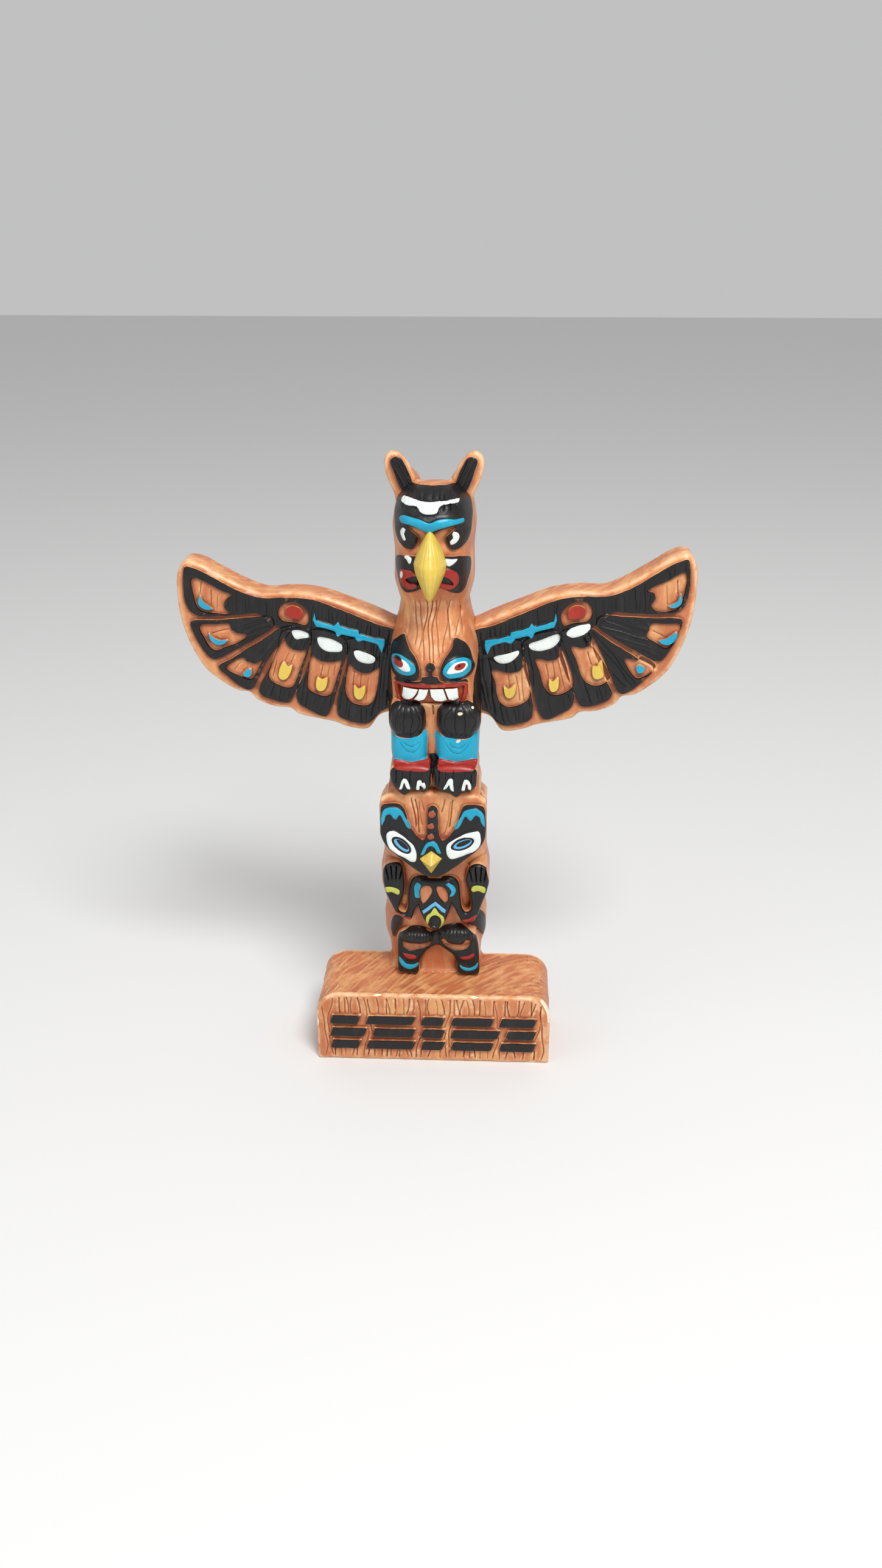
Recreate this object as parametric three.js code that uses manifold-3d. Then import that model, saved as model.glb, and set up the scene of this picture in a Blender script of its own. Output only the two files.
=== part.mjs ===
// Souvenir totem pole, one casting of painted resin: an oblong base, a pole of stacked figures and two
// spread wings. From the base up the figures are two legs, a frog held by two arms, a mask with a short
// beak, a bear with its knees up, and a bird's head with a long beak and two ears.
//
// Millimetres, +Z up, front towards -Y. The origin is the centre of the underside of the base.
// The carving is drawn in its own axes: x to the right, h up from the top of the base and d forward from
// the flat back of the casting. The finished casting is turned into the object's frame at the end.

import * as THREE from "three";
import { mergeVertices } from "three/addons/utils/BufferGeometryUtils.js";
import Module from "manifold-3d";

const wasm = await Module();
wasm.setup();

// Base block
const BASE_W = 78;
const BASE_D = 28;
const BASE_H = 25.8;
const BASE_CORNER_R = 8;

// Figure above the base. Its carving keeps its proportions as shares of its height.
const FIGURE_H = 174.7;

// Wings
const WING_SPAN = 158;
const WING_T = 9.5;
const RIGHT_TIP_LIFT = 4;

// Relief: black panels stand proud of the wood, marks stand on the panels, grooves are cut into the wood
const RELIEF = 0.8;
const MARK = 0.5;
const GROOVE_W = 0.7;
const GROOVE_DEPTH = 0.5;
const GROOVE_PITCH = 6.5;
const EDGE = 1.4;
const FOOT_FILLET = 1.4;

// Rows of plain strokes on the front of the base
const STROKE_RAISE = 1;
const STROKE_ROWS = 3;
const STROKE_GAP = 1.6;
const STROKE_SIDE_MARGIN = 4.4;
const STROKE_FOOT_MARGIN = 5;
const STROKE_TOP_MARGIN = 7.8;
const STROKE_SHARES = [5, 8, 4, 7, 6];

// The figure was drawn 174.7 high and the wings 158 across, so one drawn step is about a millimetre
const DRAWN_H = 174.7;
const DRAWN_SPAN = 158;
const STEP = FIGURE_H / DRAWN_H;
const WING_STEP = WING_SPAN / DRAWN_SPAN;

// How far a cutter runs past the surface that it cuts
const PAST = 4;

// Solids and outlines

function solid(geometry) {
  const bare = geometry.clone();
  bare.deleteAttribute("normal");
  bare.deleteAttribute("uv");
  const merged = mergeVertices(bare, 1e-4);
  const mesh = new wasm.Mesh({
    numProp: 3,
    vertProperties: new Float32Array(merged.attributes.position.array),
    triVerts: new Uint32Array(merged.index.array),
  });
  return new wasm.Manifold(mesh);
}

function join(solids) {
  return solids.reduce((whole, next) => whole.add(next));
}

const drawn = ([x, h]) => new THREE.Vector2(x * STEP, h * STEP);
const outline = (pairs) => pairs.map(drawn);
const flip = (pairs) => pairs.map(([x, h]) => [-x, h]).reverse();
const bothHalves = (pairs) => [...pairs, ...flip(pairs.filter(([x]) => x > 0))];

function oval(x, h, rx, rh, tilt = 0, count = 10) {
  const ring = new THREE.EllipseCurve(x, h, rx, rh, 0, 2 * Math.PI, false, THREE.MathUtils.degToRad(tilt));
  return ring.getPoints(count).slice(0, -1).map((point) => [point.x, point.y]);
}

// A strip of even width along a line of points
function ribbon(pairs, width) {
  const side = (sign) =>
    pairs.map(([x, h], i) => {
      const [x0, h0] = pairs[Math.max(i - 1, 0)];
      const [x1, h1] = pairs[Math.min(i + 1, pairs.length - 1)];
      const length = Math.hypot(x1 - x0, h1 - h0);
      const reach = (sign * width) / 2 / length;
      return [x - (h1 - h0) * reach, h + (x1 - x0) * reach];
    });
  return [...side(1), ...side(-1).reverse()];
}

// An outline given thickness from back to front, with its front edge eased
function plate(points, back, front, edge = 0) {
  const geometry = new THREE.ExtrudeGeometry(new THREE.Shape(points), {
    depth: front - back - edge,
    bevelEnabled: edge > 0,
    bevelThickness: edge,
    bevelSize: edge,
    bevelOffset: -edge,
    bevelSegments: 1,
  });
  geometry.translate(0, 0, back);
  return solid(geometry);
}

// A rounded lump: a ball whose squareness grows from round to boxy
function lump({ x, h, d, rx, rh, rd, squareness = 2 }, extra = 0) {
  const geometry = new THREE.SphereGeometry(1, 10, 6);
  const place = geometry.attributes.position;
  const p = new THREE.Vector3();
  for (let i = 0; i < place.count; i += 1) {
    p.fromBufferAttribute(place, i);
    const size = [p.x, p.y, p.z].reduce((sum, part) => sum + Math.abs(part) ** squareness, 0);
    p.multiplyScalar(size ** (-1 / squareness));
    p.multiply(new THREE.Vector3(rx * STEP + extra, rh * STEP + extra, rd * STEP + extra));
    p.add(new THREE.Vector3(x * STEP, h * STEP, d * STEP));
    place.setXYZ(i, p.x, p.y, p.z);
  }
  return solid(geometry);
}

// Rings of points joined from the lowest to the highest, and closed at both ends
function loft(rings) {
  const count = rings[0].length;
  const indices = [];
  for (let row = 0; row + 1 < rings.length; row += 1) {
    for (let i = 0; i < count; i += 1) {
      const a = row * count + i;
      const b = row * count + ((i + 1) % count);
      indices.push(a, b, b + count, a, b + count, a + count);
    }
  }
  const top = (rings.length - 1) * count;
  for (let i = 1; i + 1 < count; i += 1) {
    indices.push(0, i + 1, i, top, top + i, top + i + 1);
  }
  const geometry = new THREE.BufferGeometry().setFromPoints(rings.flat());
  geometry.setIndex(indices);
  return solid(geometry);
}

// A flat-based pyramid on an outline
function pyramid(points, base, tip) {
  const corners = points.map((point) => new THREE.Vector3(point.x, point.y, base));
  const geometry = new THREE.BufferGeometry().setFromPoints([...corners, tip]);
  const indices = [];
  corners.forEach((corner, i) => indices.push(i, (i + 1) % corners.length, corners.length));
  for (let i = 1; i + 1 < corners.length; i += 1) {
    indices.push(0, i + 1, i);
  }
  geometry.setIndex(indices);
  return solid(geometry);
}

// Pole: half-width at the back and depth at the middle, at heights above the base

const POLE_ROWS = [
  [3, 15.5, 12], [8, 15.9, 12.4], [13, 17.3, 13.8], [20, 17.5, 15], [24.5, 16.7, 15.6], [31, 18.3, 16.6],
  [38, 18.3, 17.6], [43.5, 17.2, 18.4], [66.5, 17, 19], [68.2, 14.3, 19.5], [71, 14.4, 21],
  [76, 14.3, 21.5], [78, 13.2, 21.5], [85, 14.3, 21.3], [97, 15.1, 21.8], [103, 15, 23.8],
  [113, 14.3, 24], [119, 13.4, 22.6], [125, 11.4, 20.7], [130, 10.5, 20], [133, 11.4, 21],
  [137, 12.3, 24], [146, 12, 25], [153, 12.7, 25.8], [158, 12, 26], [162, 10.8, 24.6],
  [165, 8.2, 21.6], [166.8, 5, 17],
];
const POLE_SQUARENESS = 3;
const POLE_SIDES = 8;

// The crown of the head falls away to the back, from this depth
const CROWN_H = 166.8;
const CROWN_D = 12.5;
const CROWN_FALL = 15;

// So do the two shoulders behind the mask, outside this half-width
const SHOULDER_X = 14.3;
const SHOULDER_H = 69.8;
const SHOULDER_D = 24;
const SHOULDER_FALL = 14.5;
const SHOULDER_RISE = 8;

// One level of the pole, rounded at the front and running straight back past the flat back
function poleRing(h, halfWidth, depth) {
  const ring = [];
  for (let i = 0; i <= POLE_SIDES; i += 1) {
    const turn = Math.PI * (i / POLE_SIDES - 0.5);
    const across = Math.sign(turn) * Math.abs(Math.sin(turn)) ** (2 / POLE_SQUARENESS);
    const forward = Math.max(Math.cos(turn), 0) ** (2 / POLE_SQUARENESS);
    ring.push(new THREE.Vector3(across * halfWidth, h, forward * depth));
  }
  ring.push(new THREE.Vector3(halfWidth, h, -PAST), new THREE.Vector3(-halfWidth, h, -PAST));
  return ring;
}

function pole(extra) {
  const [, footWidth, footDepth] = POLE_ROWS[0];
  const foot = [
    [-FOOT_FILLET, FOOT_FILLET],
    [0, FOOT_FILLET],
    [FOOT_FILLET * 0.3, FOOT_FILLET * 0.45],
    [FOOT_FILLET, 0],
  ];
  const rings = [
    ...foot.map(([h, flare]) =>
      poleRing(h, footWidth * STEP + flare + extra, footDepth * STEP + flare + extra)),
    ...POLE_ROWS.map(([h, w, d]) => poleRing(h * STEP, w * STEP + extra, d * STEP + extra)),
  ];
  return loft(rings).subtract(crownCut());
}

// A cutter over a face that falls away to the back at an angle from one point, as wide as is asked
function fallCut(x, h, d, width, height, angle) {
  const reach = 60;
  const cutter = new THREE.BoxGeometry(width, height, 2 * reach);
  cutter.translate(0, height / 2, -reach);
  cutter.rotateX(-THREE.MathUtils.degToRad(angle));
  cutter.translate(x, h, d);
  cutter.scale(STEP, STEP, STEP);
  return solid(cutter);
}

const crownCut = () => fallCut(0, CROWN_H, CROWN_D, 40, 20, CROWN_FALL);

const shoulderCuts = () =>
  join([-1, 1].map((side) => {
    const width = 10;
    const x = side * (SHOULDER_X + width / 2);
    return fallCut(x, SHOULDER_H, SHOULDER_D, width, SHOULDER_RISE, SHOULDER_FALL);
  }));

// Legs, arms and frog

const LEGS = [
  [-12.4, 8], [-12.3, 14.5], [-11.2, 16.8], [-9.4, 18.1], [-6.8, 19], [-4.1, 19], [-1.9, 17.8],
  [0.2, 17.1], [2.9, 19.4], [5.5, 20.3], [8.6, 20.1], [11.3, 19.1], [13.5, 16.7], [14.6, 13],
  [15.1, 1.3], [10.8, 0.9], [8.1, 1.4], [7.4, 5.2], [6.3, 8], [4.3, 9.6], [2, 11.5], [0.7, 11.8],
  [-2, 10.1], [-3.8, 7.8], [-4.9, 5.7], [-5.3, 3.3], [-5.6, 0.8], [-9.6, 1], [-12.1, 1.6],
];
const THIGHS = [
  { x: -5.8, h: 15.6, d: 13, rx: 5.9, rh: 3.2, rd: 5.8, squareness: 2.4 },
  { x: 7.4, h: 16.2, d: 13, rx: 6.6, rh: 3.9, rd: 5.8, squareness: 2.4 },
];
const LEFT_ARM = [
  [-11, 44.3], [-14.5, 44.1], [-16.2, 42.6], [-16.6, 38.5], [-15.8, 33.6], [-14.3, 29.7],
  [-12.6, 26.2], [-10.5, 24.6], [-7.6, 23.6], [-6.3, 27.2], [-4.6, 29.6], [-1.7, 32], [-1.7, 39.2],
  [-5.1, 39.6], [-6.9, 38.6], [-7.9, 36.4], [-8.4, 32.6], [-8.7, 27.8], [-9.6, 25.9], [-11.6, 26.9],
  [-11.2, 29.2], [-9.9, 33.2], [-9.7, 38.6],
];
const RIGHT_ARM = [
  [12, 43.7], [14.8, 44.4], [17.4, 42.6], [18.2, 39], [17.2, 34.2], [15.6, 29.4], [14.2, 25.2],
  [11.9, 23.2], [9.4, 22.9], [7.9, 25.6], [5.8, 29.7], [2.2, 32], [2.2, 39.2], [5.6, 39.6],
  [7.4, 38.5], [8.3, 36.4], [8.7, 32], [9.4, 27.8], [10.6, 26.6], [12, 27.4], [12.2, 30.4],
  [11.4, 35.2], [10.4, 39],
];
const FROG = [
  [-1.7, 39.2], [2.2, 39.2], [5.2, 39.4], [6.6, 36.6], [6, 31], [5, 27], [3.6, 23.4], [1.5, 20.4],
  [0.4, 19.8], [-0.9, 20.8], [-3.1, 23.6], [-4.7, 27.5], [-5.3, 32.6], [-5.6, 37], [-4.6, 39.4],
];
const HIP_PATCHES = [
  [[-13.3, 22], [-11.9, 22.4], [-10.5, 21.4], [-11.1, 19.4], [-12.5, 16.1], [-14, 12.5], [-14.8, 17]],
  [[14.2, 24.6], [16.8, 19.8], [17.4, 15.5], [16.6, 11.9], [14.6, 16.8], [12.6, 19.4], [10.6, 21.3]],
];
const LEG_MARKS = [
  [[-10.7, 13.1], [-9.1, 14.1], [-5.1, 13.9], [-1.3, 14], [-2.4, 11.4], [-5.7, 10.3], [-9.2, 10.3]],
  [
    [2.4, 15.1], [3.5, 16], [4.6, 14.4], [9.6, 14], [10.6, 15.8], [12, 14.2], [10.7, 11], [7.5, 10.3],
    [4, 11.4],
  ],
  [[-12, 7.4], [-9.5, 4.9], [-7.5, 4.5], [-5.3, 5.3], [-6.1, 3.6], [-8.1, 2.7], [-10.8, 3.6]],
  [[8.4, 4.8], [10.8, 3.8], [12.8, 4.2], [14.7, 5.9], [14.2, 3.8], [12.2, 2.7], [9.6, 3]],
];
const FROG_MARKS = [
  [[-4.2, 36.4], [-2.6, 37], [-0.8, 36.2], [-0.6, 34.2], [-3.4, 30.2], [-4.3, 32]],
  [[1, 36], [2.2, 36.9], [3.8, 35.8], [4.8, 32.4], [4, 30.8], [1.6, 33.6]],
  [[-5, 38], [-4.2, 37.2], [-4.7, 32.2], [-5.9, 32.2], [-6.3, 36]],
  [[4, 37.8], [5.8, 37.5], [7.2, 35.4], [6.4, 32.9], [5.4, 33], [5.8, 35.4]],
  [[0.5, 31.4], [3.9, 28.3], [3.7, 27.2], [0.5, 29.7], [-3.2, 26.7], [-3.7, 27.8]],
  [[0.3, 28.7], [3, 26.4], [3.4, 23.6], [1.8, 21], [-0.6, 21], [-2.3, 23.6], [-2.1, 26.4]],
  [[-15.8, 35.6], [-11.5, 35], [-11.8, 33.2], [-15.6, 34]],
  [[12.3, 35.4], [16.8, 36.4], [16.4, 34.3], [12.6, 34]],
];

// Mask

const MASK_BLOCK = bothHalves([
  [0, 41.8], [2.5, 42.6], [4.8, 44], [8.7, 47.2], [11.6, 49.7], [14.2, 52], [16, 54.6], [16.8, 57.5],
  [16.9, 67], [16.2, 69.8], [14, 71.6], [0, 72.4],
]);
const MASK_PANEL = bothHalves([
  [0, 41.8], [2, 42.3], [4.2, 43.6], [6.4, 45.2], [8.8, 47.2], [11.6, 49.7], [14.2, 52], [15.9, 54.6],
  [16.7, 57.5], [16.6, 64], [16, 68.2], [10.6, 68.4], [9.4, 67.8], [8.3, 64.9], [7.5, 61.3], [6.1, 58.9],
  [4.6, 56], [3, 55.1], [1.9, 60.5], [1.6, 64.5], [1.3, 67.4], [0, 68],
]);
const MASK_BROW = [
  [16.1, 61], [15.2, 62.6], [14.7, 64.4], [13.4, 65], [11.8, 63.8], [10.3, 64.8], [9.3, 63], [8, 60.6],
  [7, 60.3], [7.2, 61.5], [8.7, 64.2], [9.8, 66.5], [11.4, 67.2], [14, 67.2], [15.4, 66.3], [16.1, 64],
];
const MASK_EYES = [
  [
    [-14.4, 58.4], [-12.7, 59.2], [-10, 57.9], [-7.9, 56.1], [-6, 54], [-5.2, 51.6], [-5.6, 48.6],
    [-8.8, 49.7], [-11.5, 51.2], [-13.6, 53], [-14.4, 55.7],
  ],
  [
    [4.4, 54.2], [7.5, 57], [10.2, 58.6], [12.9, 59.4], [14.6, 59.3], [15.1, 57.2], [14.6, 54.4],
    [10.8, 51.4], [7.5, 50.1], [5.4, 49.7],
  ],
];
const MASK_PUPILS = [oval(-9.9, 54.2, 3.6, 1.7, -43, 8), oval(9.4, 55, 3.5, 1.6, 24, 8)];
const MASK_MARKS = [
  ...[[-0.2, 65.2], [-0.5, 60.9], [-0.5, 57.1]].map(([x, h]) => oval(x, h, 0.9, 0.8, 0, 8)),
  [
    [-3.9, 50.9], [-3.1, 52.8], [-2, 54.9], [-0.5, 55.6], [1.1, 55.2], [1.9, 53.7], [2.5, 51.4],
    [1.4, 51.6], [0.6, 53.2], [-0.6, 54], [-1.7, 53.4], [-2.6, 51.4],
  ],
];
const MASK_FRONT = 24.2;
const MASK_BEAK = [[-4, 49.4], [-0.6, 44.6], [2.7, 49.6], [-0.5, 52]];
const MASK_BEAK_TIP = [-0.6, 48.6, 28.4];

// Bear

const BEAR_LUMPS = [
  { x: -7.8, h: 96.3, d: 19, rx: 5.9, rh: 5.9, rd: 7.2, squareness: 2.5 },
  { x: 7.9, h: 96.3, d: 19, rx: 6.9, rh: 6, rd: 7.2, squareness: 2.5 },
  { x: -7.2, h: 87, d: 17, rx: 5.9, rh: 6.6, rd: 7.8, squareness: 3.6 },
  { x: 7.4, h: 87, d: 17, rx: 6.8, rh: 6.6, rd: 7.8, squareness: 3.6 },
];
const ANKLETS = [
  [[-12, 83.4], [-11.4, 80.4], [-6.4, 79.4], [-1, 80], [-1, 83.4], [-6.4, 82.8]],
  [[13.6, 83.8], [13.1, 80.4], [7.6, 79.4], [1.9, 79.9], [1.9, 83.6], [7.6, 83]],
];
const PAWS = [
  [
    [-12.4, 81], [-13, 76.6], [-10.2, 72.6], [-8.8, 71.9], [-6.6, 73.2], [-2.8, 72.8], [-0.4, 75],
    [-0.4, 80.6],
  ],
  [
    [13.2, 81], [13.9, 75.4], [11.8, 73.4], [9.4, 72.8], [7.3, 71.4], [5.2, 72.6], [2.6, 73.2],
    [0.4, 75.2], [0.4, 80.6],
  ],
];
const CLAWS = [
  [[-8.7, 77.9], [-10.3, 74.3], [-6.9, 74.4]],
  [[-4, 77.4], [-4.9, 74], [-2.3, 74.7]],
  [[5.9, 78.2], [3.5, 74.6], [6.4, 74]],
  [[10.5, 77.9], [9.1, 74.4], [11.8, 74.7]],
].map(([tip, left, right]) => ribbon([left, tip, right], 1.1));
const BEAR_PATCH = [
  [6.7, 121.8], [8.7, 120.9], [10.5, 118.8], [11.6, 116.5], [12.4, 113.5], [12.3, 110.4], [9.3, 109],
  [6, 108.8], [3.5, 109.2], [2.4, 111], [2.8, 113.5], [4.2, 116.3], [5.8, 118.6], [6.3, 120.7],
];
const BEAR_PATCH_SHIFT = 1.3;
const BEAR_EYES = [oval(-8.8, 113.1, 4, 2.9, -14), oval(7.6, 112.9, 4.2, 3, 12)];
const BEAR_NOSE = [
  ...oval(-0.6, 113.4, 1.4, 1.4, 0, 8).slice(0, 5), [-1.2, 112], [-1.3, 110.8], [-3, 109.8], [-3.4, 108.4],
  [-11.7, 108.4], [-11.7, 107.1], [10, 107.3], [10, 108.7], [2.4, 108.6], [1.9, 110], [0.2, 110.8],
  [0, 112],
];
const LIPS = [
  [-11.8, 106.8], [-10.6, 107.8], [9.4, 108], [10.6, 107], [10.4, 103.6], [8.9, 101.8], [-9.9, 102],
  [-11.2, 103.4],
];
const MOUTH = [[-10.6, 106.4], [9.4, 106.6], [9, 104.2], [7.6, 102.6], [-9.2, 102.6], [-10.4, 104.4]];
const TEETH = [
  [[-8.7, 106.6], [-4.6, 106.4], [-5.4, 104.4], [-7, 103], [-9.1, 103]],
  [
    [-4.3, 106.4], [-1.1, 106.6], [-1.3, 104.7], [-2.7, 103.1], [-4.1, 102.5], [-5.6, 103.1],
    [-4.9, 104.6],
  ],
  [[-0.9, 106.5], [2.7, 106.5], [3.7, 104.6], [4.3, 103], [2.2, 102.5], [0.3, 103.6]],
  [[3.1, 106.5], [7, 106.7], [7.7, 103.3], [5.7, 102.9], [4.7, 103.4]],
];

// Bird's head

const CAP = bothHalves([
  [0, 154], [3.8, 155.5], [7, 155.9], [6, 154.4], [4.5, 153], [4.6, 151.6], [5.6, 150.1], [6.9, 149.4],
  [8.7, 149.6], [10, 150.8], [10.9, 153.3], [11.3, 156.5], [11.1, 160], [10.2, 162.6], [8.5, 164.4],
  [6.2, 165.8], [3.2, 166.4], [0, 166.5],
]);
const FOREHEAD_MARK = bothHalves([
  [0, 159.9], [1.7, 160.2], [2.9, 161.4], [3.9, 162.4], [7, 162.4], [9, 162.7], [8.6, 163.6],
  [6.7, 164.1], [3.7, 163.9], [0, 163.5],
]);
const BROW = bothHalves([
  [0, 154.5], [3.8, 155.9], [7, 156.5], [9.2, 156.9], [9.2, 157.8], [7.6, 158.4], [4.8, 158.5],
  [2.2, 158.1], [0, 157.4],
]);
const CHEEK = [
  [0, 147.1], [6.3, 147.2], [8.9, 146.7], [10.4, 145.9], [11.3, 144.4], [11.1, 141.6], [10.3, 138.6],
  [9, 136], [7.5, 135.5], [5, 136.3], [0, 137.6],
];
const HEAD_MARKS = [
  oval(-8.3, 153.3, 0.8, 1.9, -4, 8),
  oval(6.8, 152.5, 1.2, 2, -22, 8),
];
const CHEEK_RINGS = [oval(-6.6, 140.1, 3.1, 2.8, 0, 10), oval(5, 140.4, 3, 2.9, -14, 10)];
const CHEEK_SLITS = [oval(-5.6, 140, 1.9, 1.1, 14, 6), oval(4, 140.3, 2, 1.1, -24, 6)];
const EAR = [
  [3, 160], [5, 165.6], [7.7, 170.8], [9.2, 173], [10.8, 174.4], [12.4, 174.6], [13.8, 173.6],
  [14.7, 171.6], [14.4, 168.6], [13.1, 165], [11.6, 162], [10.6, 157],
];
const EAR_INLAY = [
  [6.4, 165.4], [8.6, 170.4], [10.2, 172.8], [11.9, 173.2], [13.2, 171.6], [12.3, 168], [10.2, 163.8],
  [8.2, 163.5],
];
const EAR_FRONT = 11.5;
const BEAK_X = -0.5;
const BEAK_ROWS = [
  [135.1, 0.7, 30.6], [136.2, 1.6, 32.2], [138.4, 2.6, 33.4], [141, 3.7, 34.2], [143.2, 4.6, 34.4],
  [145.4, 4.9, 34], [149, 3.7, 32.2], [152.6, 1.9, 29.4], [155.2, 0.5, 26.6],
];
const BEAK_ROOT = 19;
const BEAK_SHOULDER = 26.4;

function beak() {
  const ring = ([h, halfWidth, front]) => {
    const side = Math.min(BEAK_SHOULDER, front - 0.2);
    const between = side + (front - side) * 0.62;
    const across = [-1, -0.99, -0.58, 0, 0.58, 0.99, 1];
    const forward = [BEAK_ROOT, side, between, front, between, side, BEAK_ROOT];
    return across.map((share, i) =>
      new THREE.Vector3(BEAK_X + share * halfWidth, h, forward[i]).multiplyScalar(STEP));
  };
  return loft(BEAK_ROWS.map(ring));
}

function maskBeak() {
  const tip = new THREE.Vector3(...MASK_BEAK_TIP).multiplyScalar(STEP);
  return pyramid(outline(MASK_BEAK), (MASK_FRONT - 1) * STEP, tip);
}

// The pole with all its rounded forms, grown outwards by a small amount where relief is to stand on it
function body(extra) {
  const grow = (pairs, front, edge) => plate(outline(pairs), -PAST, front * STEP + extra, edge);
  return join([
    pole(extra).add(grow(MASK_BLOCK, MASK_FRONT, EDGE)).subtract(shoulderCuts()),
    grow(LEGS, 15.8, EDGE),
    ...THIGHS.map((form) => lump(form, extra)),
    grow(LEFT_ARM, 19.2),
    grow(RIGHT_ARM, 19.2),
    grow(FROG, 20, EDGE),
    ...BEAR_LUMPS.map((form) => lump(form, extra)),
    ...ANKLETS.map((pairs) => grow(pairs, 25.4, EDGE / 2)),
    ...PAWS.map((pairs) => grow(pairs, 26.8, EDGE)),
    grow(EAR, EAR_FRONT, EDGE),
    grow(flip(EAR), EAR_FRONT, EDGE),
  ]);
}

const WOOD = body(0);
const PANEL_SKIN = body(RELIEF);
const MARK_SKIN = body(RELIEF + MARK);
const GROOVE_FLOOR = body(-GROOVE_DEPTH);
const RELIEF_ROOT = 5 * STEP;
const BEYOND = 60 * STEP;

const through = (outlines) =>
  join(outlines.map((pairs) => plate(outline(pairs), RELIEF_ROOT, BEYOND)));

// Wood grooves run down the chest, the bear's chin and the forehead of the mask, as wavy cuts
function woodGrooves() {
  const wavy = (x, low, high, lean, seed) => {
    const steps = 3;
    const pairs = Array.from({ length: steps + 1 }, (_, i) => {
      const share = i / steps;
      return [x + lean * share + 0.5 * Math.sin(5 * share + seed), low + (high - low) * share];
    });
    return ribbon(pairs, GROOVE_W);
  };
  const chest = Array.from({ length: 4 }, (_, i) => {
    const x = -6.6 + 4 * i;
    return wavy(x, 117 - Math.abs(x) * 0.2, 131.5 - (i % 3), -0.12 * x, i * 1.9);
  });
  const forehead = [-6.4, -3.8, 3.2, 6].map((x, i) =>
    wavy(x, 58 + Math.abs(x) * 0.9, 71, x * 0.35, i * 2.3));
  return [...chest, ...forehead, wavy(0, 92.5, 101, -0.6, 0)];
}

const panels = [
  MASK_PANEL, ...HIP_PATCHES, CAP, CHEEK, flip(CHEEK), EAR_INLAY, flip(EAR_INLAY), BEAR_NOSE, LIPS,
  BEAR_PATCH, flip(BEAR_PATCH).map(([x, h]) => [x - BEAR_PATCH_SHIFT, h]),
];
const marks = [
  ...LEG_MARKS, ...FROG_MARKS, MASK_BROW, flip(MASK_BROW), ...MASK_EYES, ...MASK_MARKS, ...CLAWS,
  ...BEAR_EYES, FOREHEAD_MARK, BROW, ...HEAD_MARKS, ...CHEEK_RINGS,
];
const sunk = [...MASK_PUPILS, ...CHEEK_SLITS];

function carvedPole() {
  const grooves = through(woodGrooves()).subtract(GROOVE_FLOOR);
  const mouth = through([MOUTH]).subtract(WOOD);
  const pits = through(sunk).subtract(PANEL_SKIN);
  return WOOD.subtract(grooves)
    .add(through(panels).intersect(PANEL_SKIN))
    .add(through(marks).intersect(MARK_SKIN))
    .subtract(mouth)
    .subtract(pits)
    .add(through(TEETH).intersect(PANEL_SKIN))
    .add(maskBeak())
    .add(beak());
}

// Wing: a rimmed plate, black feather panels with open pockets, and a mark in each pocket

const WING_EDGE = [
  [0, 120.4], [12, 122], [18, 124.7], [27, 128.2], [36, 131], [44, 131.7], [52, 131.2], [58, 133.2],
  [66, 137.3], [72, 140.5], [76, 140.8], [78.3, 137.4], [79, 130], [78.2, 121.6], [75.8, 113.8],
  [72.2, 107], [68.8, 103.7], [62, 99.4], [58.4, 98.9], [56.4, 96.6], [50.6, 94.2], [45.4, 93.6],
  [43.4, 91.9], [36.4, 90.2], [31.6, 89.2], [28, 87.8], [21.4, 87.2], [17.2, 92], [0, 98],
];
const FEATHERS = [
  [
    [11, 119.4], [18.6, 122.4], [28.4, 126.4], [38, 129.9], [46, 130.3], [53, 130.2], [60, 132.4],
    [67, 136.2], [75.2, 139.8], [76.4, 136.4], [76.5, 130], [75.4, 126], [71.5, 124], [60, 124.6],
    [54, 125], [48, 121.2], [38.8, 118.2], [27, 115], [13, 112],
  ],
  [
    [75, 122.6], [66, 123.2], [57.4, 124], [50.6, 124], [48.6, 121], [53, 118], [58, 115], [63, 112.4],
    [68.2, 109.8], [71.4, 112.4], [74, 117.4],
  ],
  [
    [67.4, 107.8], [63.1, 110.5], [58, 113.8], [53, 116.8], [49, 119.6], [46.2, 119.9], [50.9, 111.6],
    [53.8, 107], [55.8, 102.9], [58.2, 100.2], [61.4, 101.6], [65, 104.8],
  ],
  [
    [47.2, 118.9], [48.8, 113.7], [51.6, 107.6], [53.8, 103.4], [55, 99.6], [51.6, 97.2], [47.4, 96.1],
    [44.2, 98.6], [42.3, 103], [40.4, 109.4], [38.8, 114], [38.6, 119.6],
  ],
  [
    [37.9, 119.4], [38.4, 112.4], [40.6, 106], [43, 101.2], [43.3, 96.8], [39.5, 93.8], [35, 91.6],
    [32.4, 94.8], [30.8, 100], [28.7, 107.4], [27.5, 116.4],
  ],
  [
    [26.7, 116], [27.2, 109.9], [30.2, 99.6], [30.9, 93], [27.6, 90.4], [21.3, 89.4], [18, 91.8],
    [12, 95.4], [11, 114],
  ],
];
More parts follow.
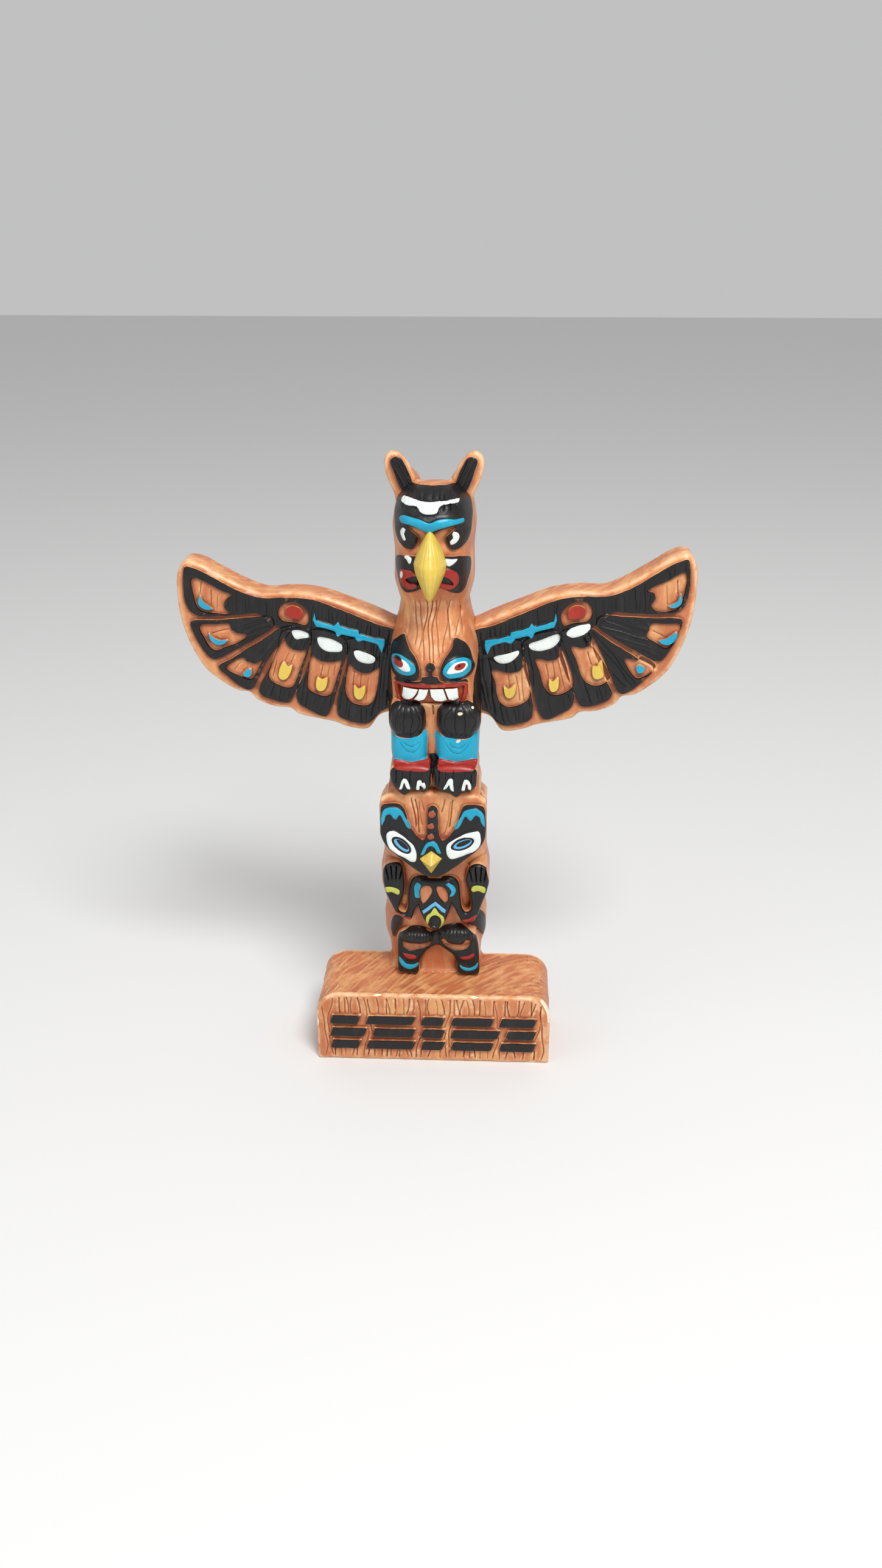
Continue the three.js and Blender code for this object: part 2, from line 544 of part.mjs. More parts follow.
const POCKETS = [
  [
    [74, 135.9], [68.3, 133.9], [65.1, 132], [62.6, 130.8], [65, 128.2], [63.6, 125.4], [67, 124.9],
    [72.2, 126.2], [74.2, 129.6],
  ],
  [
    [73.6, 121.2], [67.2, 121.6], [63.4, 121.6], [61.4, 119], [59.4, 118.2], [62, 115.8], [66, 114],
    [69.6, 113.9], [72.2, 116.9],
  ],
  [
    [65, 107.4], [59.6, 110.8], [58, 109.6], [56.2, 108.8], [53.6, 110.1], [55.2, 107], [57.4, 103.8],
    [60.4, 104.4],
  ],
  [
    [46.6, 117.4], [45.8, 115.2], [44, 113.6], [41.6, 113.2], [39.9, 113.6], [41, 109.7], [42.6, 105.6],
    [44.4, 101.7], [48.9, 101.9], [51.7, 104.2], [50.4, 109.6], [48.2, 114.4],
  ],
  [
    [38, 111.9], [36.4, 110.5], [34, 109.8], [31.1, 109.8], [29.1, 110.3], [30.2, 105.8], [31.5, 101.6],
    [34.4, 98.4], [38.4, 99.6], [40, 102], [39.6, 106],
  ],
  [
    [26.6, 109.2], [25, 107.5], [22.9, 106.5], [20.2, 106.5], [17.4, 108], [17.8, 104], [18.8, 98.6],
    [21.2, 95.6], [24.2, 95.6], [27.9, 98.2], [28, 103],
  ],
];
const WING_MARKS = [
  [[72.4, 130.4], [71, 127.8], [68.2, 126.2], [71.6, 126.6], [73, 128.6]],
  [[72, 118.8], [69, 117.2], [65, 116.4], [66.4, 115], [69.6, 115.4], [71.8, 117]],
  [[57.6, 107.4], [57.4, 105], [59.6, 104.8], [58.9, 107]],
  [[47.6, 109.6], [46, 108.2], [44.8, 109], [45.2, 106], [46.6, 104.2], [48.8, 104.8], [48.9, 107.2]],
  [[36.6, 104.8], [35.2, 104], [33.7, 104.7], [34.3, 101.2], [35.6, 100.2], [37.3, 101.3], [37.2, 103.4]],
  [[25.2, 102.2], [23.6, 101.4], [21.9, 102], [21.9, 99.8], [23.1, 97.8], [24.9, 98.2], [25.5, 100.2]],
  [[44.7, 120], [43.6, 120.6], [40.4, 119.8], [38.8, 118.6], [39.4, 117.6], [41.4, 117.4], [44, 118.2]],
  [
    [36.8, 117.6], [35.6, 118.4], [31.6, 117.2], [28.8, 115.4], [29, 113.9], [31, 113.3],
    [33.8, 113.7], [36, 115.6],
  ],
  [
    [25.6, 113.4], [24.4, 114], [20.4, 112.8], [18, 111.2], [18.6, 110], [21, 109.8], [23.6, 110.6],
    [25.2, 112],
  ],
  [
    [36.8, 126.1], [36.4, 123.1], [30.7, 121.6], [29.3, 122.6], [28.8, 121.2], [23.5, 120], [15.4, 117.4],
    [16, 113.5], [17.8, 116], [21.8, 117.6], [24.4, 117.5], [25, 118.6], [29.8, 118.6], [30.9, 120],
    [36.6, 121.4], [37.3, 123],
  ],
];
const RED_POCKET = [
  [48.2, 125.4], [47, 127.8], [43.6, 129], [40.4, 127.8], [38.9, 125.4], [39.2, 122.6], [42.6, 122.2],
  [46.8, 123],
];
const RED_SPOT = [
  [45.8, 127], [43.6, 128], [41.4, 127.4], [40.7, 125.4], [41.6, 124.2], [44.6, 124], [45.8, 125],
];

function wing(side) {
  const lift = side > 0 ? RIGHT_TIP_LIFT : 0;
  const tip = DRAWN_SPAN / 2;
  const place = (pairs) =>
    pairs.map(([x, h]) => {
      const out = Math.max((x - tip * 0.3) / (tip * 0.7), 0);
      const high = THREE.MathUtils.clamp((h - 95) / 40, 0, 1);
      return new THREE.Vector2(side * x * WING_STEP, h * STEP + lift * out * high);
    });
  const parts = (outlines, back, front) => join(outlines.map((pairs) => plate(place(pairs), back, front)));
  const root = WING_T / 2;
  const pockets = parts([...POCKETS, RED_POCKET], WING_T, WING_T + RELIEF + PAST);
  return plate(place(WING_EDGE), 0, WING_T, EDGE)
    .add(parts(FEATHERS, root, WING_T + RELIEF).subtract(pockets))
    .add(parts([...WING_MARKS, RED_SPOT], root, WING_T + RELIEF + MARK));
}

// Base block: square below, round at the upper corners, with wavy grooves and rows of strokes in front

function baseBlock() {
  const half = BASE_W / 2;
  const profile = new THREE.Shape();
  profile.moveTo(-half, -BASE_H);
  profile.lineTo(half, -BASE_H);
  profile.lineTo(half, -BASE_CORNER_R);
  profile.absarc(half - BASE_CORNER_R, -BASE_CORNER_R, BASE_CORNER_R, 0, Math.PI / 2);
  profile.lineTo(-half + BASE_CORNER_R, 0);
  profile.absarc(-half + BASE_CORNER_R, -BASE_CORNER_R, BASE_CORNER_R, Math.PI / 2, Math.PI);
  const settings = { depth: BASE_D, bevelEnabled: false, curveSegments: 6 };
  const geometry = new THREE.ExtrudeGeometry(profile, settings);
  return solid(geometry);
}

function baseGrooves() {
  const count = Math.round(BASE_W / GROOVE_PITCH);
  const pitch = BASE_W / count;
  return join(
    Array.from({ length: count - 1 }, (_, i) => {
      const x = -BASE_W / 2 + pitch * (i + 1);
      const pairs = [0, 1, 2, 3].map((step) => {
        const wave = 0.7 * Math.sin(step * 2.2 + i * 2.1);
        return [x + wave, -BASE_H * (1.02 - step * 0.35)];
      });
      const points = ribbon(pairs, GROOVE_W).map(([gx, gh]) => new THREE.Vector2(gx, gh));
      return plate(points, BASE_D - GROOVE_DEPTH, BASE_D + PAST);
    }),
  );
}

// Each row fills the same width with the same strokes, set out the other way round in every second row
function strokes() {
  const left = -BASE_W / 2 + STROKE_SIDE_MARGIN;
  const width = BASE_W - 2 * STROKE_SIDE_MARGIN;
  const bandH = BASE_H - STROKE_FOOT_MARGIN - STROKE_TOP_MARGIN;
  const strokeH = (bandH - (STROKE_ROWS - 1) * STROKE_GAP) / STROKE_ROWS;
  const room = width - STROKE_GAP * (STROKE_SHARES.length - 1);
  const total = STROKE_SHARES.reduce((sum, share) => sum + share);
  const pieces = [];
  for (let row = 0; row < STROKE_ROWS; row += 1) {
    const low = -BASE_H + STROKE_FOOT_MARGIN + row * (strokeH + STROKE_GAP);
    const lengths = row % 2 ? [...STROKE_SHARES].reverse() : STROKE_SHARES;
    let x = left;
    for (const share of lengths) {
      const length = (room * share) / total;
      const end = strokeH / 3;
      const high = low + strokeH;
      const pairs = [[x, low], [x + length - end, low], [x + length, high], [x + end, high]];
      const points = pairs.map(([sx, sh]) => new THREE.Vector2(sx, sh));
      pieces.push(plate(points, BASE_D / 2, BASE_D + STROKE_RAISE));
      x += length + STROKE_GAP;
    }
  }
  return join(pieces);
}

// The whole casting, cut flat at the back

function casting() {
  const reach = 2 * (WING_SPAN + FIGURE_H + BASE_H);
  const behind = solid(new THREE.BoxGeometry(reach, reach, reach).translate(0, 0, -reach / 2));
  return carvedPole()
    .add(wing(1))
    .add(wing(-1))
    .add(baseBlock().subtract(baseGrooves()))
    .add(strokes())
    .subtract(behind);
}

function toGeometry(manifold) {
  const mesh = manifold.getMesh();
  const geometry = new THREE.BufferGeometry();
  geometry.setAttribute("position", new THREE.BufferAttribute(new Float32Array(mesh.vertProperties), 3));
  geometry.setIndex(new THREE.BufferAttribute(new Uint32Array(mesh.triVerts), 1));
  return geometry;
}

const resin = new THREE.MeshStandardMaterial({ color: 0xc07a4b, roughness: 0.42, metalness: 0 });
const totemPole = new THREE.Mesh(toGeometry(casting()), resin);
totemPole.name = "totem_pole";
totemPole.rotation.x = Math.PI / 2;
totemPole.position.set(0, BASE_D / 2, BASE_H);

const object = new THREE.Group();
object.add(totemPole);

export default object;
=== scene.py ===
# Souvenir totem pole: one casting in resin, stained like red cedar and painted by hand.
# The carving is worked in millimetres in its own axes: x to the right, h up from the top of the foot block
# and d forward from the flat back. The last sections turn it into the frame's metres and light it.

import math
import random

import bpy
import numpy as np
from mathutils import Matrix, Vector, noise
from mathutils.geometry import delaunay_2d_cdt


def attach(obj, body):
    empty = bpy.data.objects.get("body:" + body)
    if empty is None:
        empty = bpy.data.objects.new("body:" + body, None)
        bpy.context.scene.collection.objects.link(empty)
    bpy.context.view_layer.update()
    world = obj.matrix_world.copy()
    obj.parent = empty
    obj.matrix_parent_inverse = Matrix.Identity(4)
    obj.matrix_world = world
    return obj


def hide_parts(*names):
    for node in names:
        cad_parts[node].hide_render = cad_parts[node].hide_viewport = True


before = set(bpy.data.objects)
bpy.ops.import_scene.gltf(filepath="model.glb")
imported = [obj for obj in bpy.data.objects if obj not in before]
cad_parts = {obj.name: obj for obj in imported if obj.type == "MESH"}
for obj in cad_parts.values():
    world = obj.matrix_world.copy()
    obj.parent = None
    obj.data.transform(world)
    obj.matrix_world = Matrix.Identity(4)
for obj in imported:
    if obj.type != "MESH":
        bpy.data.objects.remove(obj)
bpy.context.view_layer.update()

# Foot block
# The foot block is cast in one with the pole. Its front is scored with wavy upright grooves like split cedar,
# its upper arris is rubbed pale and chipped, and rows of raised black strokes run across its front.

MM = 0.001
WALL = 0.34
LIP = 0.1
GRID = 0.62
FAR_OUTSIDE = -99.0
KEPT_SHARE = 0.86
SHALLOWEST = 1.0
BLOCK_W = 78.0
BLOCK_D = 28.0
BLOCK_H = 25.8
BLOCK_CORNER_R = 8.0
BLOCK_ARRIS = 1.1
STROKE_RAISE = 1.0
STROKE_ROWS = 3
STROKE_GAP = 1.6
STROKE_SIDE_MARGIN = 4.4
STROKE_FOOT_MARGIN = 5.0
STROKE_TOP_MARGIN = 7.8
STROKE_SHARES = [5, 8, 4, 7, 6]
WANDER_SEED = 5
WOOD, BLACK, TURQUOISE, WHITE, RED, YELLOW, OLIVE, PALE_BLUE, RUST, BARE = range(10)
noise.seed_set(WANDER_SEED)


def curve(points, closed=True, spacing=0.6):
    """A smooth line through a few points, with a place about every spacing along it."""
    p = np.asarray(points, float)
    if closed:
        p = np.concatenate([p[-1:], p, p[:2]])
    else:
        p = np.concatenate([2 * p[:1] - p[1:2], p, 2 * p[-1:] - p[-2:-1]])
    places = []
    for p0, p1, p2, p3 in zip(p, p[1:], p[2:], p[3:]):
        gaps = [max(math.dist(a, b), 1e-6) ** 0.5 for a, b in ((p0, p1), (p1, p2), (p2, p3))]
        t0, t1, t2, t3 = 0, gaps[0], gaps[0] + gaps[1], sum(gaps)
        count = max(1, round(math.dist(p1, p2) / spacing))
        for t in t1 + (t2 - t1) * np.arange(count) / count:
            a = ((t1 - t) * p0 + (t - t0) * p1) / (t1 - t0)
            b = ((t2 - t) * p1 + (t - t1) * p2) / (t2 - t1)
            c = ((t3 - t) * p2 + (t - t2) * p3) / (t3 - t2)
            a = ((t2 - t) * a + (t - t0) * b) / (t2 - t0)
            b = ((t3 - t) * b + (t - t1) * c) / (t3 - t1)
            places.append(((t2 - t) * a + (t - t1) * b) / (t2 - t1))
    if not closed:
        places.append(p[-2])
    return np.array(places)


def straight(points, spacing=0.6):
    """The outline through those points with its corners kept, cut into short steps."""
    p = np.asarray(points, float)
    places = []
    for a, b in zip(p, np.roll(p, -1, 0)):
        count = max(1, round(math.dist(a, b) / spacing))
        places.extend(a + (b - a) * i / count for i in range(count))
    return np.array(places)


def wander(points, by=0.14):
    """The same line as an unsteady hand would cut or paint it."""
    shifts = [noise.noise_vector(Vector((x * 0.45, h * 0.45, 3.0))) for x, h in points]
    return np.asarray(points, float) + by * np.array([shift.xy for shift in shifts])


def mirror(points):
    return [(-x, h) for x, h in reversed(points)]


def oval(x, h, rx, rh, tilt=0.0, squareness=2.0, count=24):
    lean = math.radians(tilt)
    ring = []
    for i in range(count):
        turn = 2 * math.pi * i / count
        a = rx * math.copysign(abs(math.cos(turn)) ** (2 / squareness), math.cos(turn))
        b = rh * math.copysign(abs(math.sin(turn)) ** (2 / squareness), math.sin(turn))
        across, up = math.cos(lean), math.sin(lean)
        ring.append((x + a * across - b * up, h + a * up + b * across))
    return ring


def gap_to(points, x, h, closed):
    """How far each place is from a line of points."""
    ends = np.roll(points, -1, 0) if closed else points[1:]
    nearest = np.full(len(x), 1e9)
    for (ax, ah), (bx, bh) in zip(points, ends):
        dx, dh = bx - ax, bh - ah
        share = np.clip(((x - ax) * dx + (h - ah) * dh) / max(dx * dx + dh * dh, 1e-12), 0, 1)
        nearest = np.minimum(nearest, (x - ax - share * dx) ** 2 + (h - ah - share * dh) ** 2)
    return np.sqrt(nearest)


def in_box(points, by, x, h):
    """Which places lie in the box round some points, with that margin."""
    low, high = points.min(0) - by, points.max(0) + by
    return np.flatnonzero((x > low[0]) & (x < high[0]) & (h > low[1]) & (h < high[1]))


def within(outline, x, h):
    odd = np.zeros(len(x), bool)
    near = in_box(outline, 0, x, h)
    nx, nh, crossings = x[near], h[near], np.zeros(len(near), bool)
    for (ax, ah), (bx, bh) in zip(outline, np.roll(outline, -1, 0)):
        if ah != bh:
            crossings ^= ((ah > nh) != (bh > nh)) & (nx < (bx - ax) * (nh - ah) / (bh - ah) + ax)
    odd[near] = crossings
    return odd


def depth_inside(outline, x, h, reach=WALL):
    """How far inside the outline each place is, below zero outside it, and far below beyond reach."""
    deep = np.full(len(x), FAR_OUTSIDE)
    near = in_box(outline, reach, x, h)
    gap = gap_to(outline, x[near], h[near], True)
    deep[near] = np.where(within(outline, x[near], h[near]), gap, -gap)
    return deep


def inset(outline, by):
    """The outline moved inwards, or outwards where by is below zero, without the folds at tight corners."""
    def unit(v):
        return v / np.maximum(np.linalg.norm(v, axis=1, keepdims=True), 1e-9)
    along = unit(unit(outline - np.roll(outline, 1, 0)) + unit(np.roll(outline, -1, 0) - outline))
    after = np.roll(outline, -1, 0)
    turn = np.sign((outline[:, 0] * after[:, 1] - after[:, 0] * outline[:, 1]).sum())
    moved = outline + by * turn * np.stack([-along[:, 1], along[:, 0]], 1)
    return moved[gap_to(outline, moved[:, 0], moved[:, 1], True) > abs(by) * KEPT_SHARE]


def eased(inside, radius):
    """How far a front surface falls away within a rounded edge of that radius."""
    share = np.clip(1 - inside / radius, 0, 1)
    return radius * (1 - np.sqrt(np.maximum(1 - share * share, 0)))


def body(name, places, faces, slots):
    """A part of the casting, turned from the carving's own axes into the frame's."""
    mesh = bpy.data.meshes.new(name)
    x, h, d = np.array(places).T
    row_frame = np.column_stack([x, BLOCK_D / 2 - d, BLOCK_H + h]) * MM
    mesh.from_pydata(row_frame.tolist(), [], faces)
    mesh.polygons.foreach_set("material_index", slots.astype(np.int32))
    mesh.update()
    piece = bpy.data.objects.new(name, mesh)
    bpy.context.scene.collection.objects.link(piece)
    return piece


class CarvedFront:
    """The front of one part of the casting, drawn flat: its outlines, the forms and relief on it in the order
    of carving, its cuts, and its coats of paint in the order of painting."""

    def __init__(self, bodies, ground):
        self.bodies = bodies
        self.ground = ground
        self.forms = []
        self.coats = []
        self.lines = [(body, True) for body in bodies]

    def block(self, outline, front, ease):
        """A flat-topped form standing up to that depth, with a rounded edge."""
        def form(x, h, d):
            inside = depth_inside(outline, x, h)
            top = np.maximum(front - eased(inside, ease), d)
            return d + (top - d) * np.clip(1 + inside / WALL, 0, 1)
        self.forms.append(form)
        self.lines.append((outline, True))
        self.lines += [(inset(outline, by), True) for by in (-WALL, ease * 0.25, ease * 0.6, ease)]

    def ball(self, x, h, d, rx, rh, rd, squareness=2.0):
        """A rounded form about a middle at that depth, from round to boxy as its squareness grows."""
        def form(px, ph, old):
            flat = np.abs((px - x) / rx) ** squareness + np.abs((ph - h) / rh) ** squareness
            top = d + rd * np.maximum(1 - flat, 0) ** (1 / squareness)
            return np.where(flat < 1, np.maximum(old, top), old)
        self.forms.append(form)
        self.lines.append((np.array(oval(x, h, rx * 0.985, rh * 0.985, 0, squareness, 40)), True))

    def swell(self, x, h, rx, rh, by):
        self.forms.append(lambda px, ph, d: d + by * np.exp(-((px - x) / rx) ** 2 - ((ph - h) / rh) ** 2))

    def lay(self, outline, shape):
        """A form with steep walls just inside an outline."""
        def form(x, h, d):
            return shape(d, np.clip(1 + (depth_inside(outline, x, h) - LIP) / WALL, 0, 1))
        self.forms.append(form)
        self.lines += [(inset(outline, LIP), True), (inset(outline, LIP - WALL), True)]

    def mark(self, points, by, finish=None, corners=False):
        """A shape raised, or sunk where by is below zero, and painted if a finish is given."""
        outline = wander(straight(points) if corners else curve(points))
        self.lay(outline, lambda d, share: d + by * share)
        if finish is not None:
            self.coat(outline, finish)

    def plaque(self, points, front, finish):
        """A painted shape laid on as one even face, whatever lies under it."""
        outline = wander(curve(points))
        self.lay(outline, lambda d, share: d + (front - d) * share)
        self.coat(outline, finish)

    def coat(self, outline, finish):
        self.coats.append((np.asarray(outline), finish))
        self.lines.append((np.asarray(outline), True))

    def cut(self, points, width, depth):
        """A V-shaped groove along an open line."""
        middle = np.asarray(points, float)
        step = np.gradient(middle, axis=0)
        side = np.stack([-step[:, 1], step[:, 0]], 1) / np.linalg.norm(step, axis=1, keepdims=True)
        def form(x, h, d):
            near = in_box(middle, width, x, h)
            out = d.copy()
            gap = gap_to(middle, x[near], h[near], False)
            out[near] -= depth * np.clip(1 - 2 * gap / width, 0, 1)
            return out
        self.forms.append(form)
        for line in (middle, middle + side * width / 2, middle - side * width / 2):
            self.lines.append((line, False))

    def grain(self, outline, lean, pitch, width, depth, seed, bend=0.6, clear=()):
        """Fine wavy cuts side by side within an outline, leaning that many degrees from upright, and kept
        clear of the shapes that are named."""
        hand = random.Random(seed)
        low, high = np.asarray(outline).min(0), np.asarray(outline).max(0)
        middle, reach = (low + high) / 2, np.linalg.norm(high - low) / 2
        along = np.array([math.sin(math.radians(lean)), math.cos(math.radians(lean))])
        across = np.array([along[1], -along[0]])
        place = -reach
        while place < reach:
            place += pitch * hand.uniform(0.7, 1.4)
            start, sway = hand.uniform(-0.2, 0.35), hand.uniform(0, 6)
            steps = np.arange(-reach + start * reach * 0.4, reach, 0.8)
            wave = bend * np.sin(steps * 0.23 + sway) + 0.3 * bend * np.sin(steps * 0.61 + 2 * sway)
            line = middle + steps[:, None] * along + (place + wave)[:, None] * across
            kept = depth_inside(np.asarray(outline), line[:, 0], line[:, 1]) > width * 0.7
            for shape in clear:
                kept &= depth_inside(np.asarray(shape), line[:, 0], line[:, 1], 1.0) < -width * 0.7
            runs = np.split(np.arange(len(line)), np.flatnonzero(np.diff(kept)) + 1)
            for run in runs:
                if kept[run[0]] and len(run) > 3:
                    self.cut(line[run], width, depth * hand.uniform(0.6, 1.2))

    def depth(self, x, h):
        d = self.ground(x, h)
        for form in self.forms:
            d = form(x, h, d)
        return np.maximum(d, SHALLOWEST)

    def owns(self, x, h):
        owned = np.zeros(len(x), bool)
        for body in self.bodies:
            owned |= within(body, x, h)
        return owned

    def flat_mesh(self):
        """The front's places and triangles in the flat, with every drawn line followed by their edges."""
        places, edges = [], []
        for line, closed in self.lines:
            first, count = len(places), len(line)
            places.extend(line)
            edges.extend((first + i, first + i + 1) for i in range(count - 1))
            if closed:
                edges.append((first + count - 1, first))
        drawn = np.array(places)
        low, high = np.min([b.min(0) for b in self.bodies], 0), np.max([b.max(0) for b in self.bodies], 0)
        grid = []
        for k, row in enumerate(np.arange(low[1], high[1], GRID * 0.87)):
            along = np.arange(low[0] + (k % 2) * GRID / 2, high[0], GRID)
            grid.append(np.column_stack([along, np.full(len(along), row)]))
        grid = np.concatenate(grid)
        grid = grid[self.owns(grid[:, 0], grid[:, 1])]
        cell = 0.3
        near = (-1, 0, 1)
        taken = {(round(x / cell) + i, round(h / cell) + k) for x, h in drawn for i in near for k in near}
        free = [(x, h) for x, h in grid if (round(x / cell), round(h / cell)) not in taken]
        flat = [Vector(p) for p in places] + [Vector(p) for p in free]
        spots, _, faces, *_ = delaunay_2d_cdt(flat, edges, [], 0, 1e-4)
        spots = np.array([tuple(v) for v in spots])
        faces = np.array([f for f in faces if len(f) == 3])
        middles = spots[faces].mean(1)
        faces = faces[self.owns(middles[:, 0], middles[:, 1])]
        used, faces = np.unique(faces, return_inverse=True)
        return spots[used], faces.reshape(-1, 3)

    def cast(self, name, rows=1, dent=None):
        """A closed body: the carved front, walls straight back from its edge, and a flat back."""
        spots, faces = self.flat_mesh()
        x, h = spots.T
        front = self.depth(x, h)
        middles = spots[faces].mean(1)
        finish = np.zeros(len(faces), int)
        for outline, coat in self.coats:
            finish[within(outline, middles[:, 0], middles[:, 1])] = coat
        directed = np.concatenate([faces[:, [0, 1]], faces[:, [1, 2]], faces[:, [2, 0]]])
        known = {(a, b) for a, b in directed}
        rim = [(a, b) for a, b in directed if (b, a) not in known]
        follow = dict(rim)
        before = {b: a for a, b in rim}
        ring = sorted(follow)
        count = len(spots)
        places = [np.column_stack([x, h, front])]
        index = [dict(zip(ring, ring))]
        for row in range(1, rows + 1):
            level = []
            for i in ring:
                along = spots[follow[i]] - spots[before[i]]
                out = np.array([along[1], -along[0]]) / max(np.linalg.norm(along), 1e-9)
                d = front[i] * (1 - row / rows)
                shift = dent(x[i], h[i], d) if dent else 0
                level.append((*(spots[i] - out * shift), d))
            index.append({i: count + k for k, i in enumerate(ring)})
            places.append(np.array(level))
            count += len(ring)
        sides = [
            (upper[b], upper[a], lower[a], lower[b])
            for upper, lower in zip(index, index[1:]) for a, b in rim
        ]
        back = [rim[0][0]]
        while follow[back[-1]] != back[0]:
            back.append(follow[back[-1]])
        back = [tuple(index[-1][i] for i in reversed(back))]
        slots = np.concatenate([finish, np.zeros(len(sides) + len(back), int)])
        return body(name, np.concatenate(places), faces.tolist() + sides + back, slots)


CORNER_CHIPS = [
    [(35.6, -1.6), (36.9, -2.2), (38.2, -4.2), (38.95, -7), (38.9, -9.6), (38.3, -9.2), (38, -6.8),
     (36.8, -4)],
    [(-20, -0.35), (-18.4, -0.05), (-16.9, -0.3), (-18.3, -0.6)],
    [(12.2, -0.4), (13.6, -0.05), (15.3, -0.35), (13.7, -0.7)],
    [(-38.9, -9), (-38.4, -10.4), (-38.5, -13), (-38.95, -13.6)],
    [(30.4, -25.75), (33.6, -25), (35.4, -25.75)],
]


def block_outline():
    half, r = BLOCK_W / 2, BLOCK_CORNER_R
    turns = [math.radians(a) for a in range(0, 91, 9)]
    right = [(half - r + r * math.cos(a), -r + r * math.sin(a)) for a in turns]
    return straight([(-half, -BLOCK_H), (half, -BLOCK_H)] + right + mirror(right), 0.7)


def block_front():
    edge = block_outline()

    def ground(x, h):
        rough = np.array([noise.noise(Vector((a * 0.5, b * 0.5, 1.0))) for a, b in zip(x, h)])
        chip = 1.8 * np.exp(-((x - 36.5) / 2.2) ** 2 - ((h + 3.5) / 3.5) ** 2)
        radius = BLOCK_ARRIS * (1 + 0.35 * rough) + chip
        return BLOCK_D - eased(np.maximum(depth_inside(edge, x, h), 0), radius)

    block = CarvedFront([edge], ground)
    for by in (0.3, 0.65, BLOCK_ARRIS):
        block.lines.append((inset(edge, by), True))
    left = -BLOCK_W / 2 + STROKE_SIDE_MARGIN
    band = BLOCK_H - STROKE_FOOT_MARGIN - STROKE_TOP_MARGIN
    tall = (band - (STROKE_ROWS - 1) * STROKE_GAP) / STROKE_ROWS
    room = BLOCK_W - 2 * STROKE_SIDE_MARGIN - STROKE_GAP * (len(STROKE_SHARES) - 1)
    bars = []
    for row in range(STROKE_ROWS):
        low = -BLOCK_H + STROKE_FOOT_MARGIN + row * (tall + STROKE_GAP)
        x = left
        for share in STROKE_SHARES[::-1] if row % 2 else STROKE_SHARES:
            length = room * share / sum(STROKE_SHARES)
            end = tall / 3
            bars.append([(x, low), (x + length - end, low), (x + length, low + tall), (x + end, low + tall)])
            x += length + STROKE_GAP
    face = inset(edge, BLOCK_ARRIS * 0.8)
    block.grain(face, 2, 1.8, 0.7, 0.4, 11, 0.8, [straight(bar) for bar in bars])
    for bar in bars:
        block.mark(bar, STROKE_RAISE, BLACK, corners=True)
    for chip in CORNER_CHIPS:
        block.coat(wander(curve(chip), 0.25), BARE)
    return block


def block_streaks(x, h, d):
    """Shallow slanting streaks brushed over the top of the block."""
    if h < -BLOCK_H / 2 or d < 1:
        return 0
    lean = math.radians(48 - x * 0.5)
    across = x * math.sin(lean) + d * math.cos(lean)
    along = x * math.cos(lean) - d * math.sin(lean)
    ridge = 1 - abs(noise.noise(Vector((across * 0.5, along * 0.05, 7.0)))) * 2
    return 0.4 * max(ridge, 0) ** 2


foot_block = block_front().cast("foot_block", rows=34, dent=block_streaks)

# Pole, legs, arms and frog
# The pole is a rounded post, flat behind. On its lower part stand two squat legs, and two raised arms whose
# elbows rest beside a small frog; all of it is cast in relief, with black paint over the raised parts.

POLE_SQUARENESS = 3
POLE_FLANK = 0.985
POLE_ROWS = [
    (-1.4, 16.9, 13.4), (0, 16.9, 13.4), (0.5, 16, 12.6), (1.5, 15.6, 12.1), (3, 15.5, 12), (8, 15.9, 12.4),
    (13, 17.3, 13.8), (20, 17.5, 15), (24.5, 16.7, 15.6), (31, 18.3, 16.6), (38, 18.3, 17.6),
    (43.5, 17.2, 18.4),
    (66.5, 17, 19), (68.2, 14.3, 19.5), (71, 14.4, 21), (76, 14.3, 21.5), (78, 13.2, 21.5), (85, 14.3, 21.3),
    (97, 15.1, 21.8), (103, 15, 23.8), (113, 14.3, 24), (119, 13.4, 22.6), (125, 11.4, 20.7), (130, 10.5, 20),
    (133, 11.4, 21), (137, 12.3, 24), (146, 12, 25), (153, 12.7, 25.8), (158, 12, 26), (162, 10.8, 24.6),
    (165, 8.2, 21.6), (166.2, 6, 19), (166.8, 5, 17),
]
CROWN_H = 166.8
CROWN_D = 12.5
CROWN_FALL = 15.0
SHOULDER_X = 14.3
SHOULDER_H = 69.8
SHOULDER_D = 24.0
SHOULDER_FALL = 14.5
RELIEF = 0.8
MARK = 0.5
EDGE = 1.4

LEGS = [
    (-12.4, 8), (-12.3, 14.5), (-11.2, 16.8), (-9.4, 18.1), (-6.8, 19), (-4.1, 19), (-1.9, 17.8), (0.2, 17.1),
    (2.9, 19.4), (5.5, 20.3), (8.6, 20.1), (11.3, 19.1), (13.5, 16.7), (14.6, 13), (15.1, 6), (15.1, 1.3),
    (14.8, 0.7), (11.5, 0.7), (8.1, 1), (7.4, 5.2), (6.3, 8), (4.3, 9.6), (2, 11.5), (0.7, 11.8), (-2, 10.1),
    (-3.8, 7.8), (-4.9, 5.7), (-5.3, 3.3), (-5.6, 0.8), (-9.6, 0.8), (-12.1, 1.2), (-12.4, 2.4),
]
LEFT_ARM = [
    (-11, 44.3), (-14.5, 44.1), (-16.2, 42.6), (-16.6, 38.5), (-15.8, 33.6), (-14.3, 29.7), (-12.6, 26.2),
    (-10.5, 24.6), (-7.6, 23.6), (-6.3, 27.2), (-4.6, 29.6), (-1.7, 32), (-1.7, 39.2), (-5.1, 39.8),
    (-6.9, 38.7), (-7.9, 36.4), (-8.4, 32.6), (-8.7, 27.8), (-9.6, 25.9), (-11.6, 26.9), (-11.2, 29.2),
    (-9.9, 33.2), (-9.7, 38.6),
]
